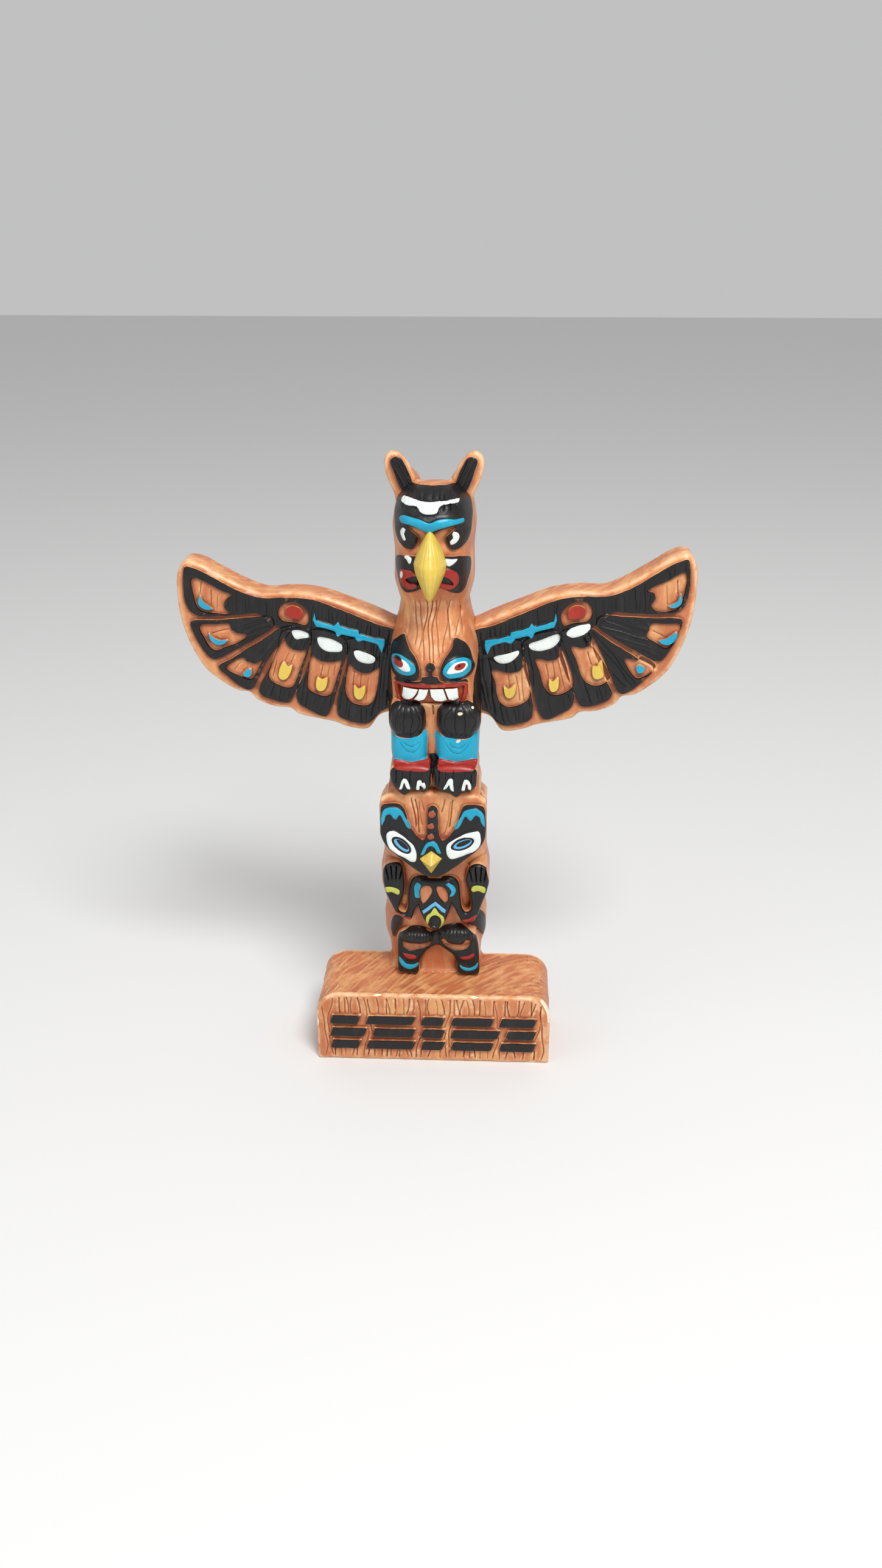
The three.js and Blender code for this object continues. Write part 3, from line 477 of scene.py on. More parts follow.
RIGHT_ARM = [
    (12, 43.7), (14.8, 44.4), (17.4, 42.6), (18, 39), (17.2, 34.2), (15.6, 29.4), (14.2, 25.2), (11.9, 23.2),
    (9.4, 22.9), (7.9, 25.6), (5.8, 29.7), (2.2, 32), (2.2, 39.2), (5.6, 39.8), (7.4, 38.7), (8.3, 36.4),
    (8.7, 32), (9.4, 27.8), (10.6, 26.6), (12, 27.4), (12.2, 30.4), (11.4, 35.2), (10.4, 39),
]
FROG = [
    (-1.7, 39.2), (2.2, 39.2), (5.2, 39.4), (6.6, 36.6), (6, 31), (5, 27), (3.6, 23.4), (1.5, 20.4),
    (0.4, 19.8), (-0.9, 20.8), (-3.1, 23.6), (-4.7, 27.5), (-5.3, 32.6), (-5.6, 37), (-4.6, 39.4),
]
HIP_PATCHES = [
    [(-13.3, 22), (-11.9, 22.4), (-10.5, 21.4), (-11.1, 19.4), (-12.5, 16.1), (-14, 12.5), (-14.8, 14.5),
     (-15, 17.1), (-14.5, 19.7)],
    [(14.2, 24.6), (15.6, 22.7), (16.8, 19.8), (17, 16.9), (16.9, 14.2), (16.4, 11.9), (15.6, 14.2),
     (14.4, 16.8), (12.6, 19.4), (10.6, 21.3)],
]
HOLLOWS_IN_THIGHS = [
    [(-10.7, 13.1), (-9.1, 14), (-5.1, 13.9), (-1.3, 14), (-1.3, 12.7), (-2.8, 11.3), (-5.7, 10.3),
     (-7.7, 9.9),
     (-10, 10.8)],
    [(2.4, 15.1), (3.5, 16), (4.3, 14.8), (6.1, 14), (9.4, 14), (10.6, 15.8), (12, 15), (12.1, 13.4),
     (10.7, 11), (7.5, 10.3), (4.7, 11.2), (2.7, 13.1)],
]
SHIN_DASHES = [
    [(-10.6, 8.9), (-8.9, 8.6), (-6.3, 8), (-6.2, 7), (-7.8, 6.6), (-9.8, 7.4)],
    [(8.7, 7.7), (11.2, 8.4), (13.2, 9.5), (13.5, 8.8), (12.4, 7.5), (9.8, 6.9)],
]
SHIN_CRESCENTS = [
    [(-11.9, 7.5), (-10.7, 6.3), (-9.5, 4.9), (-7.5, 4.6), (-5.3, 5.3), (-5.8, 4), (-8.1, 2.7), (-10.4, 3.5),
     (-11.8, 5.4)],
    [(8.5, 4.8), (9.8, 4), (11.9, 3.7), (13.6, 4.6), (14.7, 5.8), (14.4, 4.2), (12.7, 2.7), (10.4, 2.6),
     (9, 3.5)],
]
ELBOW_BANDS = [
    [(-12.6, 26.4), (-11.3, 26), (-9.4, 24.8), (-7.6, 24.6), (-7.6, 23.6), (-9.4, 23.4), (-11.1, 24.2)],
    [(9.4, 24), (11.7, 24.8), (14, 26.2), (14.3, 25.2), (12.3, 23.5), (10.6, 22.9)],
]
WRIST_BANDS = [
    [(-15.9, 35.6), (-13.7, 35.9), (-11.3, 34.8), (-11.5, 33.2), (-13.8, 34.1), (-15.5, 34)],
    [(12.2, 35.3), (12.7, 36.7), (14.7, 37.1), (16.8, 36.2), (16.5, 34.3), (14.7, 35.1), (12.8, 34.7)],
]
TEARS = [
    [(-4, 36.4), (-2.6, 36.9), (-0.9, 36.3), (-0.5, 34.6), (-1.5, 32.7), (-3.4, 30.4), (-4.1, 31.3),
     (-4.4, 33.9)],
    [(0.9, 36.5), (1.9, 36.8), (3.6, 35.9), (4.4, 34.1), (4.7, 31.8), (3.8, 30.9), (2.4, 32.1), (1.3, 34)],
]
FROG_ARCS = [
    [(-6.3, 36.7), (-5.3, 37.9), (-4.2, 37.5), (-4.6, 35.8), (-4.8, 32.3), (-5.9, 32.2), (-6.3, 34.5)],
    [(3.8, 37.7), (5.2, 38), (6.6, 36.8), (7.2, 35.1), (6.4, 33.2), (5.2, 33.3), (5.8, 35), (5, 36.6)],
]
FROG_CHEVRON = [(0.5, 31.3), (3.9, 28.3), (3.7, 27.1), (2.6, 27.7), (0.5, 29.8), (-2.2, 27.6), (-3.3, 26.6),
                (-3.8, 27.7)]
FROG_CREST = [
    (0.3, 29), (1.7, 27.2), (3.1, 26), (3.5, 24.1), (2.9, 22.2), (1.6, 21), (2.3, 22.6), (2.5, 24.2),
    (1.9, 25.8),
    (0.5, 26.5), (-1.1, 25.8), (-1.7, 24.2), (-2, 22.6), (-2.6, 24.1), (-2.3, 26), (-1, 27.2),
]

pole_heights = np.array([row[0] for row in POLE_ROWS])
pole_table = np.arange(pole_heights[0], pole_heights[-1], 0.25)


def pole_row(column, h):
    """Half-width or depth of the post at a height, with the turns between the rows softened."""
    raw = np.interp(pole_table, pole_heights, [row[column] for row in POLE_ROWS])
    soft = np.convolve(np.pad(raw, 3, mode="edge"), np.ones(7) / 7, mode="valid")
    return np.interp(h, pole_table, soft)


def pole_outline():
    heights = np.arange(pole_heights[0], pole_heights[-1] + 0.01, 0.7)
    right = [(pole_row(1, h) * POLE_FLANK, h) for h in heights]
    return straight(right + mirror(right), 0.7)


def falling_back(x, h, d):
    """How far in the side of the post lies, where the crown and the two shoulders drop towards the back."""
    crown = CROWN_H - (CROWN_D - d) * math.tan(math.radians(CROWN_FALL))
    shoulder = SHOULDER_H - (SHOULDER_D - d) * math.tan(math.radians(SHOULDER_FALL))
    if h < SHOULDER_H + 3:
        return max(min(h - shoulder, abs(x) - SHOULDER_X), 0)
    return max(h - crown, 0)


def post(x, h):
    share = np.minimum(np.abs(x) / pole_row(1, h), 0.995)
    return pole_row(2, h) * (1 - share ** POLE_SQUARENESS) ** (1 / POLE_SQUARENESS)


MASK_BLOCK = [
    (2.5, 42.6), (4.8, 44), (8.7, 47.2), (11.6, 49.7), (14.2, 52), (16, 54.6), (16.8, 57.5), (16.9, 67),
    (16.4, 69.8), (14.4, 71.4), (4, 72.2),
]
MASK_BLOCK = MASK_BLOCK + mirror(MASK_BLOCK)
PAWS = [
    [(-12.4, 81.2), (-13, 76.6), (-10.4, 72.8), (-8.8, 71.8), (-6.6, 73.2), (-4.6, 73.6), (-2.8, 72.8),
     (-0.6, 75), (-0.4, 78), (-0.4, 81.2)],
    [(13.2, 81.2), (13.8, 77.4), (13.5, 75.2), (11.8, 73.4), (9.4, 72.9), (7.3, 71.3), (5.2, 72.6),
     (2.6, 73.2),
     (0.6, 75.2), (0.4, 78), (0.4, 81.2)],
]
mask_edge = straight(MASK_BLOCK)
paw_edges = [curve(paw) for paw in PAWS]
flank_heights = np.arange(0.4, 165.5, 0.8)

pole = CarvedFront([pole_outline(), mask_edge, *paw_edges], post)
for share in (-0.97, -0.945, -0.9, 0.9, 0.945, 0.97):
    pole.lines.append((np.stack([pole_row(1, flank_heights) * share, flank_heights], 1), False))
legs = curve(LEGS)
pole.block(legs, 15.8, EDGE)
pole.ball(-5.8, 15.6, 13, 5.9, 3.2, 5.8, 2.4)
pole.ball(7.4, 16.2, 13, 6.6, 3.9, 5.8, 2.4)
arms = [curve(LEFT_ARM), curve(RIGHT_ARM)]
for arm in arms:
    pole.block(arm, 19.2, 1.1)
frog = curve(FROG)
pole.block(frog, 20, EDGE)
pole.swell(0.4, 24, 2.6, 3, 1.1)
for outline in (legs, *arms, frog):
    pole.coat(outline, BLACK)
for patch in HIP_PATCHES:
    pole.mark(patch, RELIEF, BLACK)
for hollow in HOLLOWS_IN_THIGHS:
    pole.mark(hollow, -MARK, WOOD)
for dash in SHIN_DASHES + ELBOW_BANDS:
    pole.mark(dash, 0.25, RED)
for crescent in SHIN_CRESCENTS + FROG_ARCS:
    pole.mark(crescent, 0.3, TURQUOISE)
for band in WRIST_BANDS:
    pole.mark(band, 0.25, OLIVE)
for tear in TEARS:
    pole.mark(tear, -MARK, WOOD)
pole.mark(FROG_CHEVRON, 0.25, PALE_BLUE, corners=True)
pole.mark(FROG_CREST, 0.25, OLIVE)
pole.mark(oval(0.4, 24, 1.6, 1.9), -0.5)
for x, tilt in ((-14.8, 10), (-13.6, 4), (-12.4, -4), (-11.2, -12), (12.4, 12), (13.8, 4), (15.2, -2),
                (16.4, -8)):
    lean = math.tan(math.radians(tilt))
    pole.cut([(x - lean * t, 38.6 + t) for t in (0, 1.5, 3, 4.8)], 0.7, 0.6)
for middle, reach, top in ((-5.8, 4.6, 18.4), (7.4, 5.2, 19.4)):
    for i in range(9):
        x = middle + reach * (i / 4 - 1)
        pole.cut([(x, top - 0.1 * (x - middle) ** 2 - t) for t in (0, 1, 2)], 0.4, 0.2)

# Mask
# Above the frog is a beaked mask like a shield. Its black field is cast proud of the stained forehead, its
# brows and eye rims are laid on in turquoise and white, and its short yellow beak is a faceted point.

MASK_PANEL = [
    (2, 42.3), (4.2, 43.6), (6.4, 45.2), (8.8, 47.2), (11.6, 49.7), (14.2, 52), (15.9, 54.6), (16.6, 57.5),
    (16.5, 64), (16, 67.6), (15.2, 68.2), (10.6, 68.4), (9.4, 67.6), (8.3, 64.9), (7.5, 61.3), (6.1, 58.9),
    (4.6, 56.2), (3, 55.1), (2.2, 57), (1.8, 60.5), (1.6, 64.5), (1.3, 67.2),
]
MASK_PANEL = MASK_PANEL + [(0, 68.1)] + mirror(MASK_PANEL) + [(0, 41.8)]
MASK_BROW = [
    (16.1, 61), (15.2, 62.6), (14.7, 64.4), (13.4, 65), (12.2, 63.4), (11.6, 63.2), (10.3, 64.8), (9.3, 63),
    (8, 60.6), (7, 60.1), (7.1, 61.5), (8.6, 64.2), (9.7, 66.4), (11.4, 67.2), (14, 67.2), (15.4, 66.3),
    (16.1, 64),
]
MASK_EYES = [
    [(-14.4, 58.4), (-12.7, 59.2), (-10, 57.9), (-7.9, 56.1), (-6, 54), (-5.2, 51.6), (-5.5, 48.6),
     (-6.9, 48.5),
     (-8.8, 49.7), (-11.5, 51.2), (-13.6, 53), (-14.5, 55.7)],
    [(4.3, 53.6), (4.9, 55.2), (7.5, 57), (10.2, 58.6), (12.9, 59.4), (14.5, 59.4), (15.1, 57.2),
     (14.8, 54.5),
     (13.5, 52.9), (10.8, 51.4), (7.5, 50.1), (5.6, 49.7), (4.5, 51.2)],
]
MASK_PUPILS = [(-9.9, 54.2, -43), (9.4, 55, 24)]
MASK_CHEVRON = [
    (-3.9, 50.9), (-3.2, 52.7), (-2.1, 54.8), (-0.5, 55.7), (1.1, 55.3), (1.9, 53.7), (2.5, 51.5),
    (1.4, 51.8),
    (0.6, 53.4), (-0.5, 54.1), (-1.6, 53.6), (-2.4, 52), (-3.1, 50.9),
]
MASK_FRONT = 24.2
MASK_BEAK = [(-4, 49.4), (-0.6, 44.5), (2.7, 49.6), (-0.5, 52.1)]
MASK_BEAK_TIP = (-0.6, 48.6, 28.4)
FOREHEAD_FIELDS = [
    [(-8.6, 69.6), (-7, 64), (-5.8, 60), (-3.8, 56.8), (-2.9, 59), (-2.4, 64), (-2.2, 69.6)],
    [(2.1, 69.6), (2.4, 64), (2.8, 58.6), (3.6, 56.8), (5.6, 60), (7, 64), (8.6, 69.6)],
]

pole.block(mask_edge, MASK_FRONT, EDGE)
for field, lean in zip(FOREHEAD_FIELDS, (-9, 9)):
    pole.grain(curve(field), lean, 1.5, 0.8, 0.45, 21 + lean, 0.4)
pole.coat(mask_edge, WOOD)
underside = inset(mask_edge, -WALL)
pole.coat(underside[underside[:, 1] < 58], RUST)
pole.mark([(x, h + 0.7 if h < 57 else h) for x, h in MASK_PANEL], RELIEF, BLACK)
for brow in (MASK_BROW, mirror(MASK_BROW)):
    pole.mark(brow, MARK, TURQUOISE)
for eye, (x, h, tilt) in zip(MASK_EYES, MASK_PUPILS):
    pole.mark(eye, MARK, WHITE)
    pole.mark(oval(x, h, 3.9, 2, tilt), -0.35, BLACK)
    pole.mark(oval(x, h, 3.1, 1.3, tilt), 0.3, PALE_BLUE)
    pole.mark(oval(x + 0.3, h + 0.3, 2.5, 0.8, tilt), -0.2, BLACK)
for x, h, rh in ((-0.2, 65.2, 1.2), (-0.6, 61, 0.95), (-0.6, 57.3, 0.95)):
    pole.mark(oval(x, h, 1.15, rh), MARK, RUST)
pole.mark(MASK_CHEVRON, MARK, TURQUOISE)
beak_edge = straight(MASK_BEAK)


def mask_beak(x, h, d):
    """The short beak rises in flat facets from its four-cornered outline to its tip."""
    tip_x, tip_h, tip_d = MASK_BEAK_TIP
    share = np.full(len(x), 1e9)
    for (ax, ah), (bx, bh) in zip(MASK_BEAK, MASK_BEAK[1:] + MASK_BEAK[:1]):
        side = (bx - ax) * (h - ah) - (bh - ah) * (x - ax)
        full = (bx - ax) * (tip_h - ah) - (bh - ah) * (tip_x - ax)
        share = np.minimum(share, side / full)
    rise = MASK_FRONT + RELIEF + (tip_d - MASK_FRONT - RELIEF) * np.clip(share, 0, 1) ** 0.85
    return np.where(share > 0, np.maximum(d, rise + 0.3), d)


pole.forms.append(mask_beak)
pole.lines += [(beak_edge, True), (inset(beak_edge, -0.15), True)]
for corner in MASK_BEAK:
    ridge = [np.array(corner) + (np.array(MASK_BEAK_TIP[:2]) - corner) * t for t in (0.05, 0.35, 0.7, 1)]
    pole.lines.append((np.array(ridge), False))
pole.coat(inset(beak_edge, -0.15), YELLOW)

# Bear
# The bear sits on the mask with its knees drawn up. Its chest and brow are stained wood with wavy cuts, its
# eyes are set in black horned patches, and it shows four white teeth between red lips.

BEAR_PATCHES = [
    [(-8.5, 122.1), (-10.1, 121.1), (-12.2, 118.6), (-13.1, 116.4), (-13.5, 113.6), (-13.1, 110.4),
     (-12, 109.2),
     (-9.9, 109), (-6.4, 108.7), (-4.9, 109.1), (-3.9, 111), (-4, 113.2), (-5.2, 116.1), (-7, 118.3),
     (-8, 120.8)],
    [(6.5, 121.6), (8.4, 120.8), (9.9, 119.4), (11.1, 117.1), (11.9, 114.5), (12.6, 111.9), (11.8, 110.2),
     (9.5, 109.3), (6.3, 108.9), (3.5, 109.2), (2.3, 111.1), (2.8, 114), (4.2, 116.6), (5.9, 119.2)],
]
BEAR_NOSE = [
    (0.9, 113.4), (0.4, 114.5), (-0.6, 114.9), (-1.6, 114.5), (-2.1, 113.4), (-1.7, 112.4), (-1.2, 111.9),
    (-1.3, 110.9), (-3, 110.3), (-3.2, 109.4), (-3.6, 108.9), (-8, 108.9), (-11.4, 108.9), (-11.9, 107.6),
    (-10.6, 107.9), (9.6, 108.2), (10.6, 107.6), (10.2, 108.8), (8, 109.1), (2.6, 108.8), (1.9, 109.6),
    (1.7, 110.4), (0.2, 110.9), (0, 111.9),
]
LIPS = [
    (-11.9, 106.8), (-10.8, 108), (-4, 108.3), (0, 107.9), (4, 108.3), (9.4, 108.2), (10.6, 107), (10.7, 104),
    (9.4, 101.6), (8.4, 101.8), (-9.9, 101.9), (-10.8, 102.2), (-11.5, 104),
]
MOUTH = [(-10.6, 106.7), (9.4, 106.9), (9.2, 104.6), (8, 101.2), (-9.3, 101.2), (-10.3, 104.2)]
TEETH = [
    [(-9, 106.4), (-4.4, 106.2), (-4.9, 104.8), (-6, 103.3), (-7.2, 102.7), (-9, 102.7), (-9.4, 103.4)],
    [(-4, 106.3), (-1.3, 106.4), (-1.6, 104.6), (-2.5, 103.1), (-4.1, 102.5), (-5.6, 102.8), (-4.6, 104.4)],
    [(-0.8, 106.4), (3.2, 106.4), (3.7, 104.6), (4.3, 102.8), (2.6, 102.4), (0.7, 102.7), (-0.4, 104)],
    [(3.7, 106.4), (7.4, 106.5), (7.9, 103.2), (6.6, 102.6), (5, 102.9), (4.3, 104.3)],
]
KNEES = [(-7.8, 96.3, 5.9, 5.9, 2.9), (7.9, 96.3, 6.9, 6, 2.9)]
SHINS = [(-7.2, 87, 5.9, 6.6, 3.6), (7.4, 87, 6.8, 6.6, 3.6)]
STOCKINGS = [
    [(-13.2, 92.6), (-12.2, 91.4), (-10, 90.5), (-7.4, 90.5), (-5.4, 90.9), (-4.2, 91), (-3, 92),
     (-1.9, 92.2),
     (-1.7, 88), (-1.9, 84.6), (-2.2, 83.2), (-6.4, 82.5), (-12, 83.1), (-12.7, 85)],
    [(0.8, 91.9), (3, 91.1), (6, 90.7), (9, 90.3), (11, 90.6), (14.4, 92.4), (14.4, 88), (13.8, 83.8),
     (7.6, 82.7), (1.9, 83.2), (1.2, 85)],
]
STOCKING_FOLDS = [(-6.6, 89), (7.6, 88.8)]
ANKLETS = [
    [(-12, 83.3), (-11.8, 81.5), (-6.4, 80.6), (-1.2, 81), (-1, 83.4), (-6.4, 82.6)],
    [(13.7, 83.7), (13.3, 81.5), (7.6, 80.6), (1.9, 81), (1.9, 83.5), (7.6, 82.9)],
]
CLAWS = [
    [(-10.3, 74.3), (-9.9, 75.6), (-8.8, 78.1), (-8, 77.8), (-7.1, 75.8), (-6.9, 74.3), (-7.7, 74.5),
     (-8.3, 75.8),
     (-8.6, 76.7), (-9.6, 74.4)],
    [(-4.9, 74), (-4.9, 75.4), (-4.4, 77.5), (-3.4, 77.4), (-3.2, 76.6), (-2.5, 76.8), (-2.1, 74.8),
     (-3, 75.2),
     (-3.8, 75.8), (-4.2, 74)],
    [(3.4, 74.5), (3.9, 75.8), (5.3, 78.3), (6.2, 78), (6.5, 75.8), (6.4, 73.8), (5.6, 74.6), (5.2, 76.2),
     (4.4, 75)],
    [(9.1, 74.2), (9.2, 76), (10, 78), (11.1, 77.7), (12, 75.8), (11.8, 74.5), (11.1, 74.8), (10.7, 76.4),
     (10.3, 76.3), (9.9, 74.2)],
]
CHIPS = [
    (8.4, 99.2, 0.8, 0.5, 10), (12.2, 100.6, 0.45, 0.3, -30), (7.9, 89.8, 0.9, 0.5, 30),
    (-2.6, 74.6, 0.35, 0.25, 20),
]
WING_SHADOWS = [
    [(-15.6, 118), (-14, 117.6), (-13.6, 113), (-13, 108.4), (-12.6, 103), (-13, 99), (-14.4, 97.4),
     (-15.6, 98)],
    [(15.6, 116.6), (14, 115.6), (13.1, 111), (12.3, 107), (12.2, 103), (12.6, 99.6), (14, 97.8),
     (15.6, 98.4)],
]
CHEST = [(-9.4, 132), (-11.6, 124), (-9.6, 122.6), (-7, 120.6), (-4.2, 117), (-2.6, 114.2), (1.6, 114.2),
         (3.4, 117.2), (6, 121.4), (9.4, 121.6), (11.4, 124), (9.4, 132)]
CHIN = [(-7.6, 101.2), (6.6, 101.2), (3.4, 99.8), (0.9, 97.6), (0.6, 93), (-1.6, 93), (-1.8, 97.6), (-4, 100)]

for x, h, rx, rh, squareness in KNEES:
    pole.ball(x, h, 19, rx, rh, 7.2, squareness)
for x, h, rx, rh, squareness in SHINS:
    pole.ball(x, h, 17, rx, rh, 7.8, squareness)
for anklet in ANKLETS:
    pole.block(curve(anklet), 25.1, 0.6)
for paw in paw_edges:
    pole.block(paw, 26.8, 1.8)
pole.swell(-0.6, 112, 3.2, 5, 1.1)
pole.swell(-4, 111.5, 2.2, 2.5, -0.4)
pole.swell(2.9, 111.5, 2.2, 2.5, -0.4)
pole.grain(wander(curve(CHEST)), 0, 1.6, 0.6, 0.32, 31, 0.7)
pole.grain(wander(curve(CHIN)), 0, 1.3, 0.8, 0.4, 33, 0.5)
for shadow in WING_SHADOWS:
    pole.coat(wander(curve(shadow)), BLACK)
for patch in BEAR_PATCHES:
    pole.mark(patch, RELIEF, BLACK)
pole.mark(LIPS, RELIEF, RED, corners=True)
pole.mark(BEAR_NOSE, RELIEF * 1.1, BLACK)
pole.mark(MOUTH, -RELIEF * 1.6, RUST, corners=True)
for tooth in TEETH:
    pole.mark(tooth, RELIEF * 1.5, WHITE, corners=True)
pole.coat(wander(curve(CHIN[:4] + CHIN[-2:])), WOOD)
pole.mark(oval(-0.6, 113.4, 0.7, 0.7), -0.3)
LEFT_EYE = [(-12.7, 114.4), (-11.2, 115.9), (-8.9, 116), (-6.6, 115), (-5, 113.1), (-5.2, 111.6),
            (-7.2, 110.5),
            (-9.6, 110.4), (-11.8, 111.3), (-12.8, 112.8)]
RIGHT_EYE = [(3.1, 111.9), (3.9, 113.9), (5.6, 115.4), (8, 116), (10.4, 115.2), (11.6, 113.6), (11.4, 111.6),
             (9.9, 110.4), (7, 109.9), (4.4, 110.3)]
pole.mark(LEFT_EYE, MARK, TURQUOISE)
pole.mark(RIGHT_EYE, MARK, TURQUOISE)
pole.mark([(-12.2, 113.8), (-10.6, 115), (-8.2, 114.8), (-6.9, 113.6), (-6.6, 112.2), (-8.4, 111.6),
           (-10.4, 112.3)], 0.2, WHITE)
pole.mark([(4.4, 111.7), (5.6, 113.8), (7.6, 114.8), (9.8, 114.6), (10.6, 113.2), (9.4, 112), (6.6, 111.5)],
          0.2, WHITE)
pole.coat(wander(oval(-10.5, 113.9, 1.7, 1.3, -20)), RED)
pole.coat(wander(oval(-10.4, 115, 1.1, 0.6, -10)), BLACK)
pole.coat(wander(oval(8.2, 113.4, 1.7, 1, 10)), RED)
pole.coat(oval(8, 113.6, 0.42, 0.42), BLACK)
for x, h, rx, rh, squareness in KNEES:
    knee = np.array(oval(x, h, rx - 0.2, rh - 0.2, 0, squareness, 48))
    pole.coat(wander(knee), BLACK)
    for share in (-0.6, -0.15, 0.3, 0.7):
        bow = [(x + share * rx * (1 - 0.5 * abs(t) ** 1.6), h + t * rh * 0.8) for t in np.linspace(-1, 1, 13)]
        pole.cut(wander(bow, 0.5), 0.4, 0.2)
for stocking in STOCKINGS:
    pole.coat(wander(curve(stocking)), TURQUOISE)
for x, h in STOCKING_FOLDS:
    for depth in (1.4, 3.2):
        fold = [(x + t * (1.2 + depth * 0.7), h - depth * (1 - t * t)) for t in np.linspace(-1, 1, 9)]
        pole.cut(wander(fold, 0.3), 0.35, 0.2)
# Black laid in the crevice between the shins is painted shade.
pole.coat(curve([(-1.4, 83.8), (0.2, 84.4), (1.9, 83.8), (2, 80), (0.4, 79), (-1.3, 80)]), BLACK)
for paw in paw_edges:
    pole.coat(wander(inset(paw, 0.15), 0.1), BLACK)
    pole.grain(inset(paw, 0.9), 4, 2.2, 0.5, 0.25, 41, 0.4)
for anklet in ANKLETS:
    pole.coat(wander(inset(curve(anklet), -0.1)), RED)
for claw in CLAWS:
    pole.mark(claw, 0.35, WHITE)
for x, h, rx, rh, tilt in CHIPS:
    pole.mark(oval(x, h, rx, rh, tilt, 2, 7), -0.25, BARE, corners=True)

# Bird's head
# The head at the top wears a black cap with a white device and a turquoise brow. Black cheek pieces hold red
# nostril rings, and the long yellow beak is cast on as a ridged wedge between them.

CAP = [
    (3.8, 155.5), (7, 155.9), (5.6, 154.3), (3.9, 152.6), (4.2, 151.2), (5.4, 149.4), (6.9, 149.1),
    (8.9, 149.8),
    (10.1, 150.9), (11.1, 153.6), (11.4, 157.1), (11, 160.3), (9.8, 163.3), (8.3, 164.7), (6.2, 165.8),
    (3.2, 166.3),
]
CAP = CAP + [(0, 166.4)] + mirror(CAP) + [(0, 154)]
FOREHEAD_DEVICE = [
    (1.4, 159.9), (1.9, 161), (2.8, 161.9), (4.4, 162.2), (7.6, 162.3), (7.7, 162.9), (3.7, 163),
    (-0.5, 162.7),
    (-4.8, 163.1), (-6.6, 163.4), (-8.5, 163), (-9.2, 161.9), (-7.2, 161.5), (-5, 161.6), (-3.9, 161.1),
    (-3.4, 160.3), (-2.4, 159.7), (-0.5, 159.5),
]
BROW = [
    (-9.6, 157.6), (-8.3, 158.7), (-4.8, 158.5), (-2.6, 158), (-0.5, 157.3), (1.9, 158.2), (4.4, 158.5),
    (7, 158), (9, 157.9), (9, 156.9), (7, 156.6), (3.8, 156), (0.8, 155), (-0.6, 154.4), (-2.4, 155),
    (-5.8, 156.4), (-9, 156.7),
]
CHEEK = [
    (3, 147.3), (6.3, 147.2), (8.9, 146.7), (10.3, 145.9), (11.1, 144.6), (11.1, 142), (10.3, 138.8),
    (9.1, 136), (8.2, 135.4), (6.7, 135.7), (4.6, 136.7), (2.4, 137.8), (0, 138.2), (0, 147.2),
]
EYE_WHITES = [
    [(-8.3, 155.2), (-7.6, 154.9), (-8, 153.6), (-7.5, 151.8), (-8, 151.4), (-8.7, 152.3), (-9.2, 153.7)],
    [(6.2, 154.5), (7.4, 154.1), (7.8, 152.8), (7.3, 151.5), (6.3, 150.8), (5.3, 150.8), (5.2, 151.6),
     (6, 152.5), (5.8, 153.6)],
]
CHEEK_WHITES = [
    [(-8.2, 146.7), (-6.9, 147.2), (-5.9, 146.6), (-6.1, 145.2), (-6.6, 144.8), (-7.3, 145.9)],
    [(3.4, 146.5), (5.7, 146.5), (7.3, 146.3), (6.4, 145.2), (4.7, 144.4), (3.9, 145.5)],
]
NOSTRIL_RINGS = [
    [(-9.4, 142.3), (-8, 142.9), (-6, 142.9), (-4.6, 141.8), (-4.6, 137.9), (-5.8, 137.2), (-7.4, 137),
     (-9, 138.2), (-9.8, 140.2)],
    [(2.6, 143.2), (4.4, 143.7), (6.3, 143), (7.6, 141.4), (7.6, 139), (5.8, 137.4), (3.8, 137.3),
     (1.8, 138.4)],
]
NOSTRILS = [
    [(-7.7, 139.8), (-6.6, 140.6), (-5.2, 141.2), (-4, 141), (-4, 138.8), (-5.4, 139.2), (-6.6, 139)],
    [(6, 138.6), (4.8, 138.8), (3, 139.3), (2, 140), (2, 141.2), (3.2, 141.2), (4.8, 140.6), (5.8, 139.6)],
]

pole.swell(0, 156.8, 9, 1.6, 0.7)
for side in (-1, 1):
    pole.swell(side * 3.6, 151.6, 2.2, 2.2, -1.3)
    pole.swell(side * 7.6, 142, 4.4, 5, 0.9)
pole.mark(CAP, RELIEF, BLACK)
for cheek in (CHEEK, mirror(CHEEK)):
    pole.mark(cheek, RELIEF, BLACK)
pole.mark(FOREHEAD_DEVICE, 0.35, WHITE)
pole.mark(BROW, MARK, TURQUOISE)
for white in EYE_WHITES + CHEEK_WHITES:
    pole.mark(white, 0.3, WHITE)
for ring, nostril in zip(NOSTRIL_RINGS, NOSTRILS):
    pole.mark(ring, MARK, RED)
    pole.mark(nostril, -0.9, BLACK)
# The small white spot on the left red nostril ring is a painted highlight.
pole.coat(wander(oval(-9.1, 141, 0.45, 1.1, -8)), WHITE)
CAP_TOP = [(-9.4, 161), (9.4, 161), (8.4, 164), (4, 165.6), (-4, 165.6), (-8.4, 164)]
pole.grain(curve(CAP_TOP), 0, 1.8, 0.6, 0.42, 51, 0.2)
pole.grain(curve([(-9.8, 148), (-4.6, 148), (-4.4, 149.4), (-9.6, 149.4)]), 0, 1.4, 0.6, 0.3, 53, 0.2)
pole.grain(curve([(4, 147.8), (11, 147.4), (11, 149.8), (4.4, 149.2)]), 0, 1.4, 0.6, 0.3, 55, 0.2)
post_and_figures = pole.cast("post_and_figures", rows=8, dent=falling_back)

